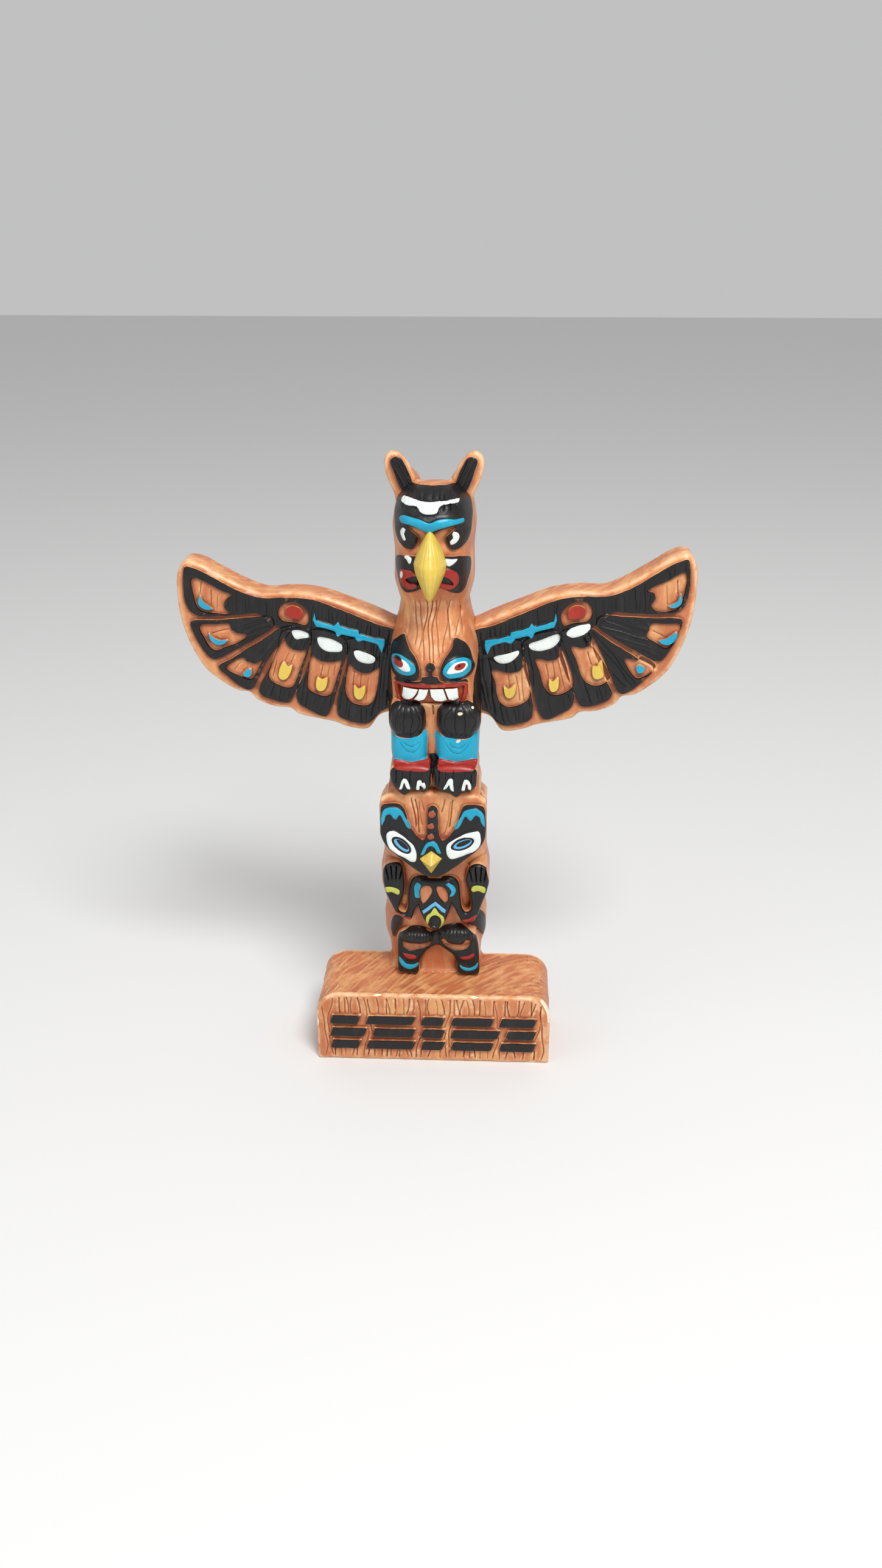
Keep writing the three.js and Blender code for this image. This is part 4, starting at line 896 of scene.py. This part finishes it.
BEAK_X = -0.5
BEAK_ROWS = [
    (135.1, 0.7, 30.6), (135.5, 1.1, 31.4), (136.2, 1.6, 32.2), (138.4, 2.6, 33.4), (141, 3.7, 34.1),
    (143.2, 4.5, 34.3), (145.4, 4.8, 34), (149, 3.6, 32.2), (152.6, 1.8, 29.4), (155.2, 0.4, 26.9),
]
BEAK_ROOT = 19.0
BEAK_SHOULDER = 26.4
BEAK_SHARES = np.linspace(-1, 1, 61)
BEAK_FLUTES = (-0.72, -0.4, -0.1, 0.33, 0.62)
FLUTE_WIDTH = 0.04
FLUTE_DEPTH = 0.14


def long_beak():
    rows = np.array(BEAK_ROWS)
    heights = np.linspace(rows[0, 0], rows[-1, 0], 44)
    flutes = sum(np.exp(-(((BEAK_SHARES - flute) / FLUTE_WIDTH) ** 2)) for flute in BEAK_FLUTES)
    places, faces = [], []
    for h in heights:
        width, front = (np.interp(h, rows[:, 0], rows[:, k]) for k in (1, 2))
        side = min(BEAK_SHOULDER, front - 0.4)
        places.append((BEAK_X - width, h, BEAK_ROOT))
        depth = FLUTE_DEPTH * np.interp(h, (135.8, 138, 151.5, 154), (0, 1, 1, 0))
        for share, flute in zip(BEAK_SHARES, flutes):
            round_over = (1 - abs(share) ** 1.9) ** 0.62
            places.append((BEAK_X + share * width, h, side + (front - side) * round_over - depth * flute))
        places.append((BEAK_X + width, h, BEAK_ROOT))
    span = len(BEAK_SHARES) + 2
    for row in range(len(heights) - 1):
        for i in range(span):
            a, b = row * span + i, row * span + (i + 1) % span
            faces.append((a, b, b + span, a + span))
    faces.append(tuple(reversed(range(span))))
    faces.append(tuple((len(heights) - 1) * span + i for i in range(span)))
    return body("long_beak", places, faces, np.full(len(faces), YELLOW))


beak_piece = long_beak()

# Ears
# Two upright ears stand behind the head, cast as flat tongues with a stained rim and a black hollow. They
# grow out of the back half of the head.

EAR = [
    (3, 158), (4.6, 164.4), (6.1, 168.2), (7.7, 171.4), (9.2, 173.2), (10.8, 174.4), (12.4, 174.6),
    (13.8, 173.6),
    (14.6, 171.6), (14.3, 168.6), (13.1, 165), (11.7, 162), (10.8, 158), (8, 156),
]
EAR_HOLLOW = [
    (6.4, 164.8), (7.1, 168), (8.4, 170.7), (9.8, 172.7), (11.3, 173), (12.6, 172.2), (12.6, 171),
    (11.7, 168.6),
    (10.7, 165.8), (9.8, 163.8), (8.5, 163.2),
]
EAR_FRONT = 11.5
EAR_TAPER = 0.19


def ear_taper(x, h, d):
    """The tip of an ear narrows a little towards the back of the casting."""
    return (EAR_FRONT - EDGE - d) * EAR_TAPER * min(max((h - 166) / 4, 0), 1) if d < EAR_FRONT - EDGE else 0


def plate(edge, front):
    """A flat plate with its front edge rounded over."""
    def ground(x, h):
        return front - eased(np.maximum(depth_inside(edge, x, h), 0), EDGE)
    made = CarvedFront([edge], ground)
    made.lines += [(inset(edge, by), True) for by in (0.25, 0.7, EDGE)]
    return made


ears = []
for side, name in ((1, "right_ear"), (-1, "left_ear")):
    ear = plate(curve(EAR if side > 0 else mirror(EAR)), EAR_FRONT)
    hollow = EAR_HOLLOW if side > 0 else mirror(EAR_HOLLOW)
    ear.mark(hollow, 0.5, BLACK)
    ear.grain(curve(hollow), side * 26, 1.2, 0.5, 0.25, 61, 0.3)
    ears.append(ear.cast(name, rows=4, dent=ear_taper))

# Wings
# The two wings are flat plates set flush with the back. Black feathers stand proud of the stained rim, each
# with an open pocket of bare stain and a painted fleck, and a turquoise band runs along the shoulder.

WING_SPAN = 158.0
WING_T = 9.5
RIGHT_TIP_LIFT = 4.0
FEATHER_LEANS = (-4, -70, -42, -20, -12, -9)
WING_EDGE = [
    (6, 120.8), (12, 122), (18, 124.7), (27, 128.2), (36, 131), (44, 131.7), (52, 131.2), (58, 133.2),
    (66, 137.3), (72, 140.5), (76, 140.8), (78.3, 137.4), (79, 130), (78.2, 121.6), (75.8, 113.8),
    (72.2, 107), (68.8, 103.7), (62, 99.4), (58.4, 98.9), (56.4, 96.6), (50.6, 94.2), (45.4, 93.6),
    (43.4, 91.9), (36.4, 90.2), (31.6, 89.2), (28, 87.8), (21.4, 87.2), (17.2, 92), (6, 96),
]
FEATHERS = [
    [(11, 119.4), (18.6, 122.4), (28.4, 126.4), (38, 129.7), (46, 130.1), (53, 130), (60, 132.2), (67, 136),
     (73, 139), (75.6, 139.4), (76.4, 136.4), (76.5, 130), (75.4, 126), (73.4, 124.4), (71.5, 123.9),
     (60, 124.5),
     (54, 124.9), (49.4, 121.4), (38.8, 118.2), (27, 115), (11, 112)],
    [(75, 122.2), (66, 122.9), (57.4, 123.7), (50.6, 124.2), (49.4, 122.8), (49.6, 120.8), (53, 118.3),
     (58, 115.3),
     (63, 112.6), (67.8, 110.2), (69.4, 110.3), (71.4, 112.4), (74, 117.4), (75.2, 120.8)],
    [(67.4, 107.8), (63.1, 110.5), (58, 113.8), (53, 116.8), (48, 120.3), (44, 121), (50.9, 111.6),
     (53.8, 107), (55.8, 102.9), (57.2, 100.6), (58.6, 100.2), (61.4, 101.6), (65, 104.8)],
    [(46.2, 120), (48.8, 113.7), (51.6, 107.6), (53.8, 103.4), (55.2, 100.2), (54.4, 98.6), (51.6, 97.2),
     (47.4, 96.1),
     (45.6, 96.4), (44.2, 98.6), (42.3, 103), (40.4, 109.4), (38.8, 114), (38.2, 119.6)],
    [(38.2, 120), (38.4, 112.4), (40.6, 106), (43, 101.2), (43.4, 98), (42.4, 95.6), (39.5, 93.8), (36, 91.8),
     (34.2, 91.8), (32.4, 94.8), (30.8, 100), (28.7, 107.4), (27.3, 117)],
    [(27, 117), (27.2, 109.9), (30.2, 99.6), (30.8, 95.4), (30.4, 92), (28.2, 90.6), (21.3, 89.5),
     (19.6, 90.6),
     (17, 93.6), (11, 97), (11, 114)],
]
POCKETS = [
    [(73.6, 135.9), (68.3, 133.9), (65.1, 132), (61.9, 130.7), (63.2, 129.8), (64.5, 128), (64.2, 126.4),
     (62.8, 125), (67, 124.9), (72.2, 126.2), (73.4, 129.6)],
    [(72.4, 120.8), (67.2, 121.4), (63.1, 121.5), (62.8, 119.8), (61.2, 118.6), (58, 118), (60.8, 115.8),
     (65.4, 113.9), (68, 113), (69.5, 113.9), (71.2, 117)],
    [(65, 107.3), (59.4, 110.8), (58.8, 109.6), (57.4, 109.2), (56.2, 108.7), (53.5, 110.2), (55.2, 107),
     (57.4, 103.9),
     (60.2, 104.5)],
    [(46.4, 117.4), (45.7, 115.2), (44, 113.6), (41.6, 113.1), (39.8, 113.5), (41, 109.7), (42.6, 105.6),
     (44.4, 101.7), (45.8, 101.1), (48.9, 101.9), (51.7, 104.2), (50.4, 109.6), (48.2, 114.4)],
    [(38, 111.9), (36.4, 110.4), (34, 109.7), (31.1, 109.7), (29, 110.3), (30.2, 105.8), (31.5, 101.6),
     (32.6, 99.2), (34.4, 98.4), (37.8, 99.4), (39.5, 100.7), (39.4, 106)],
    [(26.4, 109.1), (25, 107.5), (22.9, 106.3), (20.4, 106.2), (17.3, 107.9), (17.6, 104), (18.4, 99.8),
     (19.4, 97), (21.2, 95.6), (24, 95.6), (26.4, 96.7), (27.8, 99.4), (27.8, 103)],
]
RIGHT_POCKETS = [
    [(75, 135.4), (70, 133.4), (64, 130.9), (66, 130.2), (66.6, 128), (65.4, 126.8), (66.6, 125.2),
     (70.8, 124.6),
     (73.6, 125.6), (74.8, 128)],
    [(74.6, 120.6), (69.6, 121), (65.6, 121), (65.4, 119.4), (64.6, 117.8), (67.6, 115.6), (71, 114),
     (73.2, 116.4)],
    [(68, 108.4), (63.6, 111.4), (62.6, 110.4), (58.4, 110.9), (60.2, 107.4), (62.6, 105), (65.8, 106.2)],
    [(48.2, 117.8), (47.6, 115.4), (45.6, 114.4), (42, 114.9), (44, 110), (46, 104.8), (49, 102.8),
     (51.7, 103),
     (54.2, 105), (53.6, 107.4), (51, 113)],
    [(39.2, 113.9), (38.2, 111.6), (35.5, 110.6), (31.2, 111.2), (32.7, 106.8), (34.3, 101.8), (36.6, 99.8),
     (40, 100.2), (42.6, 102.2), (42.8, 105.4), (41, 110)],
    [(28.2, 110.3), (26.7, 107.8), (23.1, 106.8), (17.9, 107.8), (18.8, 104), (20.3, 97.4), (23.2, 95.6),
     (26.5, 96.4), (29.4, 98.4), (29.5, 103)],
]
POCKET_FLECKS = [
    ([(71.6, 130.6), (70.9, 128.7), (68, 126.3), (70.2, 126.2), (72.3, 127.9)], TURQUOISE),
    ([(69.7, 118.6), (68.5, 117.2), (66.6, 116.3), (64, 116.4), (65.7, 115), (67.7, 115),
      (69.5, 116.7)], TURQUOISE),
    ([(57.5, 107.3), (57.3, 105.4), (58.1, 104.5), (60, 105.1), (58.7, 106.9)], TURQUOISE),
    ([(47, 109.5), (45.7, 108.2), (44.5, 108.5), (45.1, 105.6), (46.4, 103.9), (47.9, 103.8), (48.8, 104.8),
      (48.5, 106.8)], YELLOW),
    ([(36.5, 104.7), (35.2, 104.1), (33.6, 104.6), (34.2, 101.2), (35.3, 100.2), (36.5, 100.3),
      (37.2, 101.3)], YELLOW),
    ([(25.1, 102.1), (23.7, 101.2), (21.9, 101.9), (21.8, 99.8), (22.9, 97.7), (24.4, 97.6),
      (25.3, 99.2)], YELLOW),
]
RIGHT_FLECKS = [
    ([(70.6, 126.2), (73, 127.2), (74, 129.6), (74.6, 128), (73.8, 126.2), (72.1, 125.6)], TURQUOISE),
    ([(68.4, 116.2), (71, 116.9), (73.6, 118.6), (73.8, 117.2), (72, 115.2), (70, 115.2)], TURQUOISE),
    ([(62, 108.4), (63, 109.2), (64.6, 108.2), (64.4, 106.9), (62.8, 106.6)], TURQUOISE),
    ([(48.8, 108.8), (50, 108.9), (51.4, 110.4), (52.2, 107.4), (52.2, 105.8), (50.8, 104.8), (49.2, 105.2),
      (48.6, 107)], YELLOW),
    ([(35.6, 104.8), (36.6, 104.2), (38.2, 105.4), (38.6, 102.6), (37.8, 101), (36.4, 100.8),
      (35.6, 102)], YELLOW),
    ([(21.6, 102.6), (23, 101.8), (25, 103), (25, 100.2), (23.6, 98.6), (22.4, 99), (21.7, 100.4)], YELLOW),
]
SHOULDER_WHITES = [
    [(43.8, 119.8), (41.6, 120.1), (38.7, 119), (38.8, 117.8), (40.9, 117.4), (42.6, 117.1), (43.5, 118)],
    [(36, 117.8), (34.2, 118), (29.8, 116.6), (28.5, 115.3), (28.7, 113.6), (31, 113.1), (33.5, 113.5),
     (35.6, 115)],
    [(24.8, 113.5), (23.5, 113.8), (18.3, 111.4), (18.8, 110), (20.9, 109.6), (23.4, 110.2), (24.6, 111.8)],
]
RIGHT_WHITES = [
    [(40.3, 119.2), (41.3, 120.6), (47.2, 121.9), (47.3, 120.3), (44.8, 118.5), (41.9, 118)],
    [(29, 116.3), (32.4, 117.5), (37.9, 119.2), (38.2, 117.4), (35.9, 114.9), (32, 114.1), (29.5, 114.8)],
    [(18.1, 112), (23, 113.6), (25.9, 114.3), (25.9, 113.1), (23.5, 110.8), (20.2, 110.2)],
]
SHOULDER_BAND = [
    (36.8, 125.9), (36.3, 123.2), (34.2, 122.5), (30.8, 121.6), (29.5, 122.7), (28.8, 121.5), (26.4, 120.7),
    (23.4, 120.2), (23.2, 119.1), (19.3, 117.9), (15.4, 117.5), (15.4, 115.6), (16.2, 113.2), (17.2, 115.6),
    (17.9, 116.2), (21.7, 117.3), (23.4, 116.8), (24.5, 118), (28.4, 118.8), (29.6, 118.3), (30.7, 119.9),
    (33.6, 120.7), (36.4, 121.2), (37.2, 123.3),
]
RED_POCKET = [
    (47.9, 125), (46.9, 127.6), (43.6, 128.8), (40.4, 127.5), (38.7, 125.4), (38.6, 123.4), (39.4, 121.6),
    (42.6, 122.2), (46.8, 122.9),
]
RED_SPOT = [(45.6, 126.4), (44, 127.5), (41.4, 127), (40.3, 125), (41, 123.6), (43.2, 123.6), (45.4, 124.4)]


def lifted(points, side):
    """A drawn outline on one wing. The right wing tip is bent up a little."""
    lift = RIGHT_TIP_LIFT if side > 0 else 0
    tip = WING_SPAN / 2
    placed = []
    for x, h in points:
        out = max((x - tip * 0.3) / (tip * 0.7), 0)
        high = min(max((h - 95) / 40, 0), 1)
        placed.append((side * x, h + lift * out * high))
    return placed


def wing(side, name):
    made = plate(curve(lifted(WING_EDGE, side)), WING_T)
    for feather in FEATHERS:
        made.mark(lifted(feather, side), RELIEF, BLACK)
    pockets = RIGHT_POCKETS if side > 0 else POCKETS
    flecks = RIGHT_FLECKS if side > 0 else POCKET_FLECKS
    whites = RIGHT_WHITES if side > 0 else SHOULDER_WHITES
    shapes = [curve(lifted(shape, side)) for shape in pockets + whites + [RED_POCKET, SHOULDER_BAND]]
    for k, feather in enumerate(FEATHERS):
        field = inset(curve(lifted(feather, side)), 0.5)
        made.grain(field, side * FEATHER_LEANS[k], 1.5, 0.34, 0.15, 71 + k, 0.4, shapes)
    for pocket in pockets + [RED_POCKET]:
        made.mark(lifted(pocket, side), -RELIEF, WOOD)
    fleck_shapes = [curve(lifted(fleck, side)) for fleck, finish in flecks]
    for k, pocket in enumerate(pockets):
        field = inset(curve(lifted(pocket, side)), 0.7)
        made.grain(field, side * FEATHER_LEANS[k], 2.6, 0.6, 0.3, 91 + k, 0.3, fleck_shapes)
    for fleck, finish in flecks:
        made.mark(lifted(fleck, side), RELIEF + 0.2, finish)
    for white in whites:
        made.plaque(lifted(white, side), WING_T + RELIEF + MARK, WHITE)
    made.mark(lifted(SHOULDER_BAND, side), MARK, TURQUOISE, corners=True)
    made.mark(lifted(RED_SPOT, side), RELIEF + 0.3, RED)
    return made.cast(name)


wings = [wing(1, "right_wing"), wing(-1, "left_wing")]

# The whole casting
# The parts above are one casting, so they are joined into one skin. The stain has run into the hollows and
# worn off the edges, and the coats of paint lie over it, thin and rubbed at their edges.

# The paler gold along the ridges and edges of the stain is a painted highlight, partly rubbed stain.
STAIN_DARK = "6A3218"
STAIN = "B1653F"
STAIN_WARM = "C2764B"
GOLD_STAIN_AND_HIGHLIGHT = "DEA76E"
WORN_EDGE = "E6BC94"
RUBBED_PAINT = "A87850"
PAINT_HOLLOW_DARK = "101010"
BRUSH_ANGLE = 48
BUMP_HEIGHT = 0.0002
NEAR_NEIGHBOUR = 1.6
FLAT_BACK = 0.999
SHARP_CORNER = 62
PAINTS = {
    BLACK: ("black paint", "0A090B", "332E2C", 0.42),
    TURQUOISE: ("turquoise paint", "0A96B6", "3FB2CC", 0.38),
    WHITE: ("white paint", "DCE2DD", "B9C6C9", 0.4),
    RED: ("red paint", "971F12", "B03C28", 0.4),
    YELLOW: ("yellow paint", "D3B64E", "B98D38", 0.4),
    OLIVE: ("olive paint", "B5B84A", "8F9440", 0.4),
    PALE_BLUE: ("pale blue paint", "5AA6D2", "8CC4E0", 0.38),
    RUST: ("rust paint", "97462A", "B05E3C", 0.4),
    BARE: ("bare resin", "E8D8BC", "D9C19A", 0.6),
}


def shade(code):
    """A colour written as on a paint card, as linear light."""
    parts = [int(code[i:i + 2], 16) / 255 for i in (0, 2, 4)]
    return (*[c / 12.92 if c < 0.04045 else ((c + 0.055) / 1.055) ** 2.4 for c in parts], 1)


class Finish:
    """A material whose colour is mixed from layers by masks that stay with the surface."""

    def __init__(self, name, roughness):
        self.material = bpy.data.materials.new(name)
        self.material.use_nodes = True
        self.nodes = self.material.node_tree.nodes
        self.links = self.material.node_tree.links
        self.shader = self.nodes["Principled BSDF"]
        self.shader.inputs["Roughness"].default_value = roughness
        self.shader.inputs["Specular IOR Level"].default_value = 0.4
        self.shader.inputs["Coat Weight"].default_value = 0.12
        self.shader.inputs["Coat Roughness"].default_value = 0.2
        coordinates = self.nodes.new("ShaderNodeTexCoord")
        self.place = coordinates.outputs["Object"]
        self.out = coordinates.outputs["Normal"]

    def node(self, kind, inputs, **settings):
        """A new node, each of its inputs set to a plain value or joined to another node's output."""
        made = self.nodes.new("ShaderNode" + kind)
        for name, value in settings.items():
            setattr(made, name, value)
        for name, value in inputs.items():
            if isinstance(value, bpy.types.NodeSocket):
                self.links.new(value, made.inputs[name])
            else:
                made.inputs[name].default_value = value
        return made.outputs

    def spread(self, value, low, high):
        return self.node("MapRange", {"Value": value, "From Min": low, "From Max": high})["Result"]

    def mottle(self, scale, stretch=(1, 1, 1), detail=4.0, low=0.35, high=0.65):
        """Soft patches from 0 to 1, with so many to the metre."""
        place = self.node("Mapping", {"Vector": self.place, "Scale": stretch})["Vector"]
        patches = self.node("TexNoise", {"Vector": place, "Scale": scale, "Detail": detail})["Fac"]
        return self.spread(patches, low, high)

    def wear_and_highlight(self, name, low, high):
        """How hollow or how exposed the surface is, as it was measured on the casting. It masks real wear and
        the stain in the hollows, and also a painted highlight on the ridges.
        """
        return self.spread(self.node("Attribute", {}, attribute_name=name)["Fac"], low, high)

    def brushed(self, scale, angle, stretch):
        """Fine strokes from 0 to 1 that all lie that many degrees round from the front."""
        turned = {"Vector": self.place, "Rotation": (0, 0, math.radians(angle)), "Scale": (stretch, 1, 1)}
        place = self.node("Mapping", turned, vector_type="TEXTURE")["Vector"]
        strokes = self.node("TexNoise", {"Vector": place, "Scale": scale, "Distortion": 0.4})["Fac"]
        return self.spread(strokes, 0.5, 0.62)

    def facing_up(self):
        """One where the surface faces up, and zero where it is upright."""
        return self.spread(self.node("SeparateXYZ", {"Vector": self.out})["Z"], 0.5, 0.8)

    def product(self, first, second):
        return self.node("Math", {0: first, 1: second}, operation="MULTIPLY")["Value"]

    def blend(self, first, second, mask):
        return self.node("Mix", {"Factor": mask, "A": first, "B": second})["Result"]

    def layer(self, under, over, mask):
        """One colour laid over another; each is a colour or a paint card's code."""
        pair = [shade(value) if isinstance(value, str) else value for value in (under, over)]
        return self.node("Mix", {"Factor": mask, "A": pair[0], "B": pair[1]}, data_type="RGBA")["Result"]

    def finished(self, colour, bump_scale, bump):
        grit = self.node("TexNoise", {"Vector": self.place, "Scale": bump_scale, "Detail": 3})["Fac"]
        dents = self.node("Bump", {"Height": grit, "Strength": bump, "Distance": BUMP_HEIGHT})["Normal"]
        self.links.new(colour, self.shader.inputs["Base Color"])
        self.links.new(dents, self.shader.inputs["Normal"])
        return self.material


def stained_resin():
    stain = Finish("stained resin", 0.42)
    colour = stain.layer(STAIN, STAIN_WARM, stain.mottle(70, (1, 1, 0.5)))
    colour = stain.layer(colour, GOLD_STAIN_AND_HIGHLIGHT, stain.product(stain.mottle(150, (1, 1, 0.5), 5, 0.5, 0.7), 0.75))
    upright = stain.mottle(260, (1, 1, 0.14), 3, 0.5, 0.75)
    slanted = stain.brushed(560, BRUSH_ANGLE, 9)
    streaks = stain.blend(upright, slanted, stain.facing_up())
    colour = stain.layer(colour, GOLD_STAIN_AND_HIGHLIGHT, stain.product(streaks, 0.5))
    # Paler gold on the ridges and edges: a painted highlight, partly rubbed stain.
    colour = stain.layer(colour, GOLD_STAIN_AND_HIGHLIGHT, stain.product(stain.wear_and_highlight("exposed", 0.02, 0.12), 0.4))
    colour = stain.layer(colour, STAIN_DARK, stain.product(stain.wear_and_highlight("hollow", 0.03, 0.25), 0.85))
    rubbed = stain.product(stain.wear_and_highlight("exposed", 0.055, 0.15), stain.mottle(330, (1, 1, 1), 4, 0.36, 0.56))
    colour = stain.layer(colour, WORN_EDGE, stain.product(rubbed, 0.9))
    return stain.finished(colour, 900, 0.25)


def paint(name, code, streak, roughness):
    coat = Finish(name, roughness)
    colour = coat.layer(code, streak, coat.product(coat.mottle(420, (1, 1, 0.3), 4, 0.52, 0.8), 0.4))
    # Near-black laid into the paint's hollows, darker the deeper the hollow.
    colour = coat.layer(colour, PAINT_HOLLOW_DARK, coat.product(coat.wear_and_highlight("hollow", 0.06, 0.4), 0.4))
    rubbed = coat.product(coat.wear_and_highlight("exposed", 0.2, 0.4), coat.mottle(520, (1, 1, 1), 4, 0.5, 0.62))
    colour = coat.layer(colour, RUBBED_PAINT, coat.product(rubbed, 0.85))
    return coat.finished(colour, 700, 0.4)


finishes = [stained_resin()] + [paint(*PAINTS[k]) for k in sorted(PAINTS)]
parts = [foot_block, post_and_figures, beak_piece, *ears, *wings]
for part in parts:
    for finish in finishes:
        part.data.materials.append(finish)
for part in parts[1:]:
    union = foot_block.modifiers.new("cast together", "BOOLEAN")
    union.operation = "UNION"
    union.solver = "MANIFOLD"
    union.object = part
joined = foot_block.evaluated_get(bpy.context.evaluated_depsgraph_get())
casting = bpy.data.objects.new("totem_pole_casting", bpy.data.meshes.new_from_object(joined))
bpy.context.scene.collection.objects.link(casting)
for part in parts:
    bpy.data.objects.remove(part)
casting.data.shade_smooth()
casting.data.set_sharp_from_angle(angle=math.radians(SHARP_CORNER))


def measure_wear_and_highlight(mesh):
    """Marks the skin by how far its neighbours rise above it or fall below it. The flat back has none."""
    count = len(mesh.vertices)
    places, normals = np.zeros(count * 3), np.zeros(count * 3)
    mesh.vertices.foreach_get("co", places)
    mesh.vertex_normals.foreach_get("vector", normals)
    places, normals = places.reshape(-1, 3), normals.reshape(-1, 3)
    ends = np.zeros(len(mesh.edges) * 2, np.int32)
    mesh.edges.foreach_get("vertices", ends)
    a, b = ends.reshape(-1, 2).T
    a, b = np.concatenate([a, b]), np.concatenate([b, a])
    step = places[b] - places[a]
    length = np.maximum(np.linalg.norm(step, axis=1), 1e-9)
    rise = (normals[a] * step).sum(1) / length
    close = length < NEAR_NEIGHBOUR * MM
    number = np.maximum(np.bincount(a[close], minlength=count), 1)
    bend = np.bincount(a[close], rise[close], minlength=count) / number
    spread = np.bincount(a[close], bend[b[close]], minlength=count) / number
    bend = 0.55 * bend + 0.45 * spread
    corners = np.zeros(len(mesh.loops), np.int32)
    mesh.loops.foreach_get("vertex_index", corners)
    behind = [loop for face in mesh.polygons if face.normal.y > FLAT_BACK for loop in face.loop_indices]
    for name, values in (("hollow", bend), ("exposed", -bend)):
        marked = np.clip(values[corners], 0, 1)
        marked[behind] = 0
        layer = mesh.attributes.new(name, "FLOAT", "CORNER")
        layer.data.foreach_set("value", marked.astype(np.float32))


measure_wear_and_highlight(casting.data)
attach(casting, "root")
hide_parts("totem_pole")

# Floor, light and camera
# The pole stands on a plain pale table under a soft daylight from above and a little to the right.

CAMERA_PLACE = Vector((0.01804, -0.38428, 0.26770))
CAMERA_AIM = Vector((-0.03778, 0.91276, -0.40674))
CAMERA_LENS = 30.33
PHOTO_SENSOR = 36.0
FLOOR_COLOUR = "DDDDDC"

floor_mesh = bpy.data.meshes.new("floor")
reach = 3.0
floor_mesh.from_pydata([(-reach, -reach, 0), (reach, -reach, 0), (reach, reach, 0), (-reach, reach, 0)], [],
                       [(0, 1, 2, 3)])
floor = bpy.data.objects.new("floor", floor_mesh)
bpy.context.scene.collection.objects.link(floor)
floor_paint = bpy.data.materials.new("plain pale floor")
floor_paint.use_nodes = True
floor_shader = floor_paint.node_tree.nodes["Principled BSDF"]
floor_shader.inputs["Base Color"].default_value = shade(FLOOR_COLOUR)
floor_shader.inputs["Roughness"].default_value = 0.75
floor_mesh.materials.append(floor_paint)


def soft_light(name, place, aim, size, power):
    light = bpy.data.lights.new(name, "AREA")
    light.shape = "DISK"
    light.size = size
    light.energy = power
    lamp = bpy.data.objects.new(name, light)
    lamp.location = place
    lamp.rotation_euler = (Vector(aim) - Vector(place)).to_track_quat("-Z", "Y").to_euler()
    bpy.context.scene.collection.objects.link(lamp)


soft_light("window light", (0.28, -0.6, 1.0), (0, 0, 0.1), 0.45, 12)
soft_light("fill light", (-0.8, -0.5, 0.5), (0, 0, 0.1), 0.8, 1.5)
world = bpy.data.worlds.new("pale room")
world.use_nodes = True
world.node_tree.nodes["Background"].inputs["Color"].default_value = shade("F2F2F3")
world.node_tree.nodes["Background"].inputs["Strength"].default_value = 0.6
bpy.context.scene.world = world

bpy.context.scene.view_settings.view_transform = "Standard"
camera = bpy.data.objects.new("camera", bpy.data.cameras.new("camera"))
camera.data.sensor_width = PHOTO_SENSOR
camera.data.lens = CAMERA_LENS
camera.location = CAMERA_PLACE
camera.rotation_euler = CAMERA_AIM.to_track_quat("-Z", "Y").to_euler()
bpy.context.scene.collection.objects.link(camera)
bpy.context.scene.camera = camera
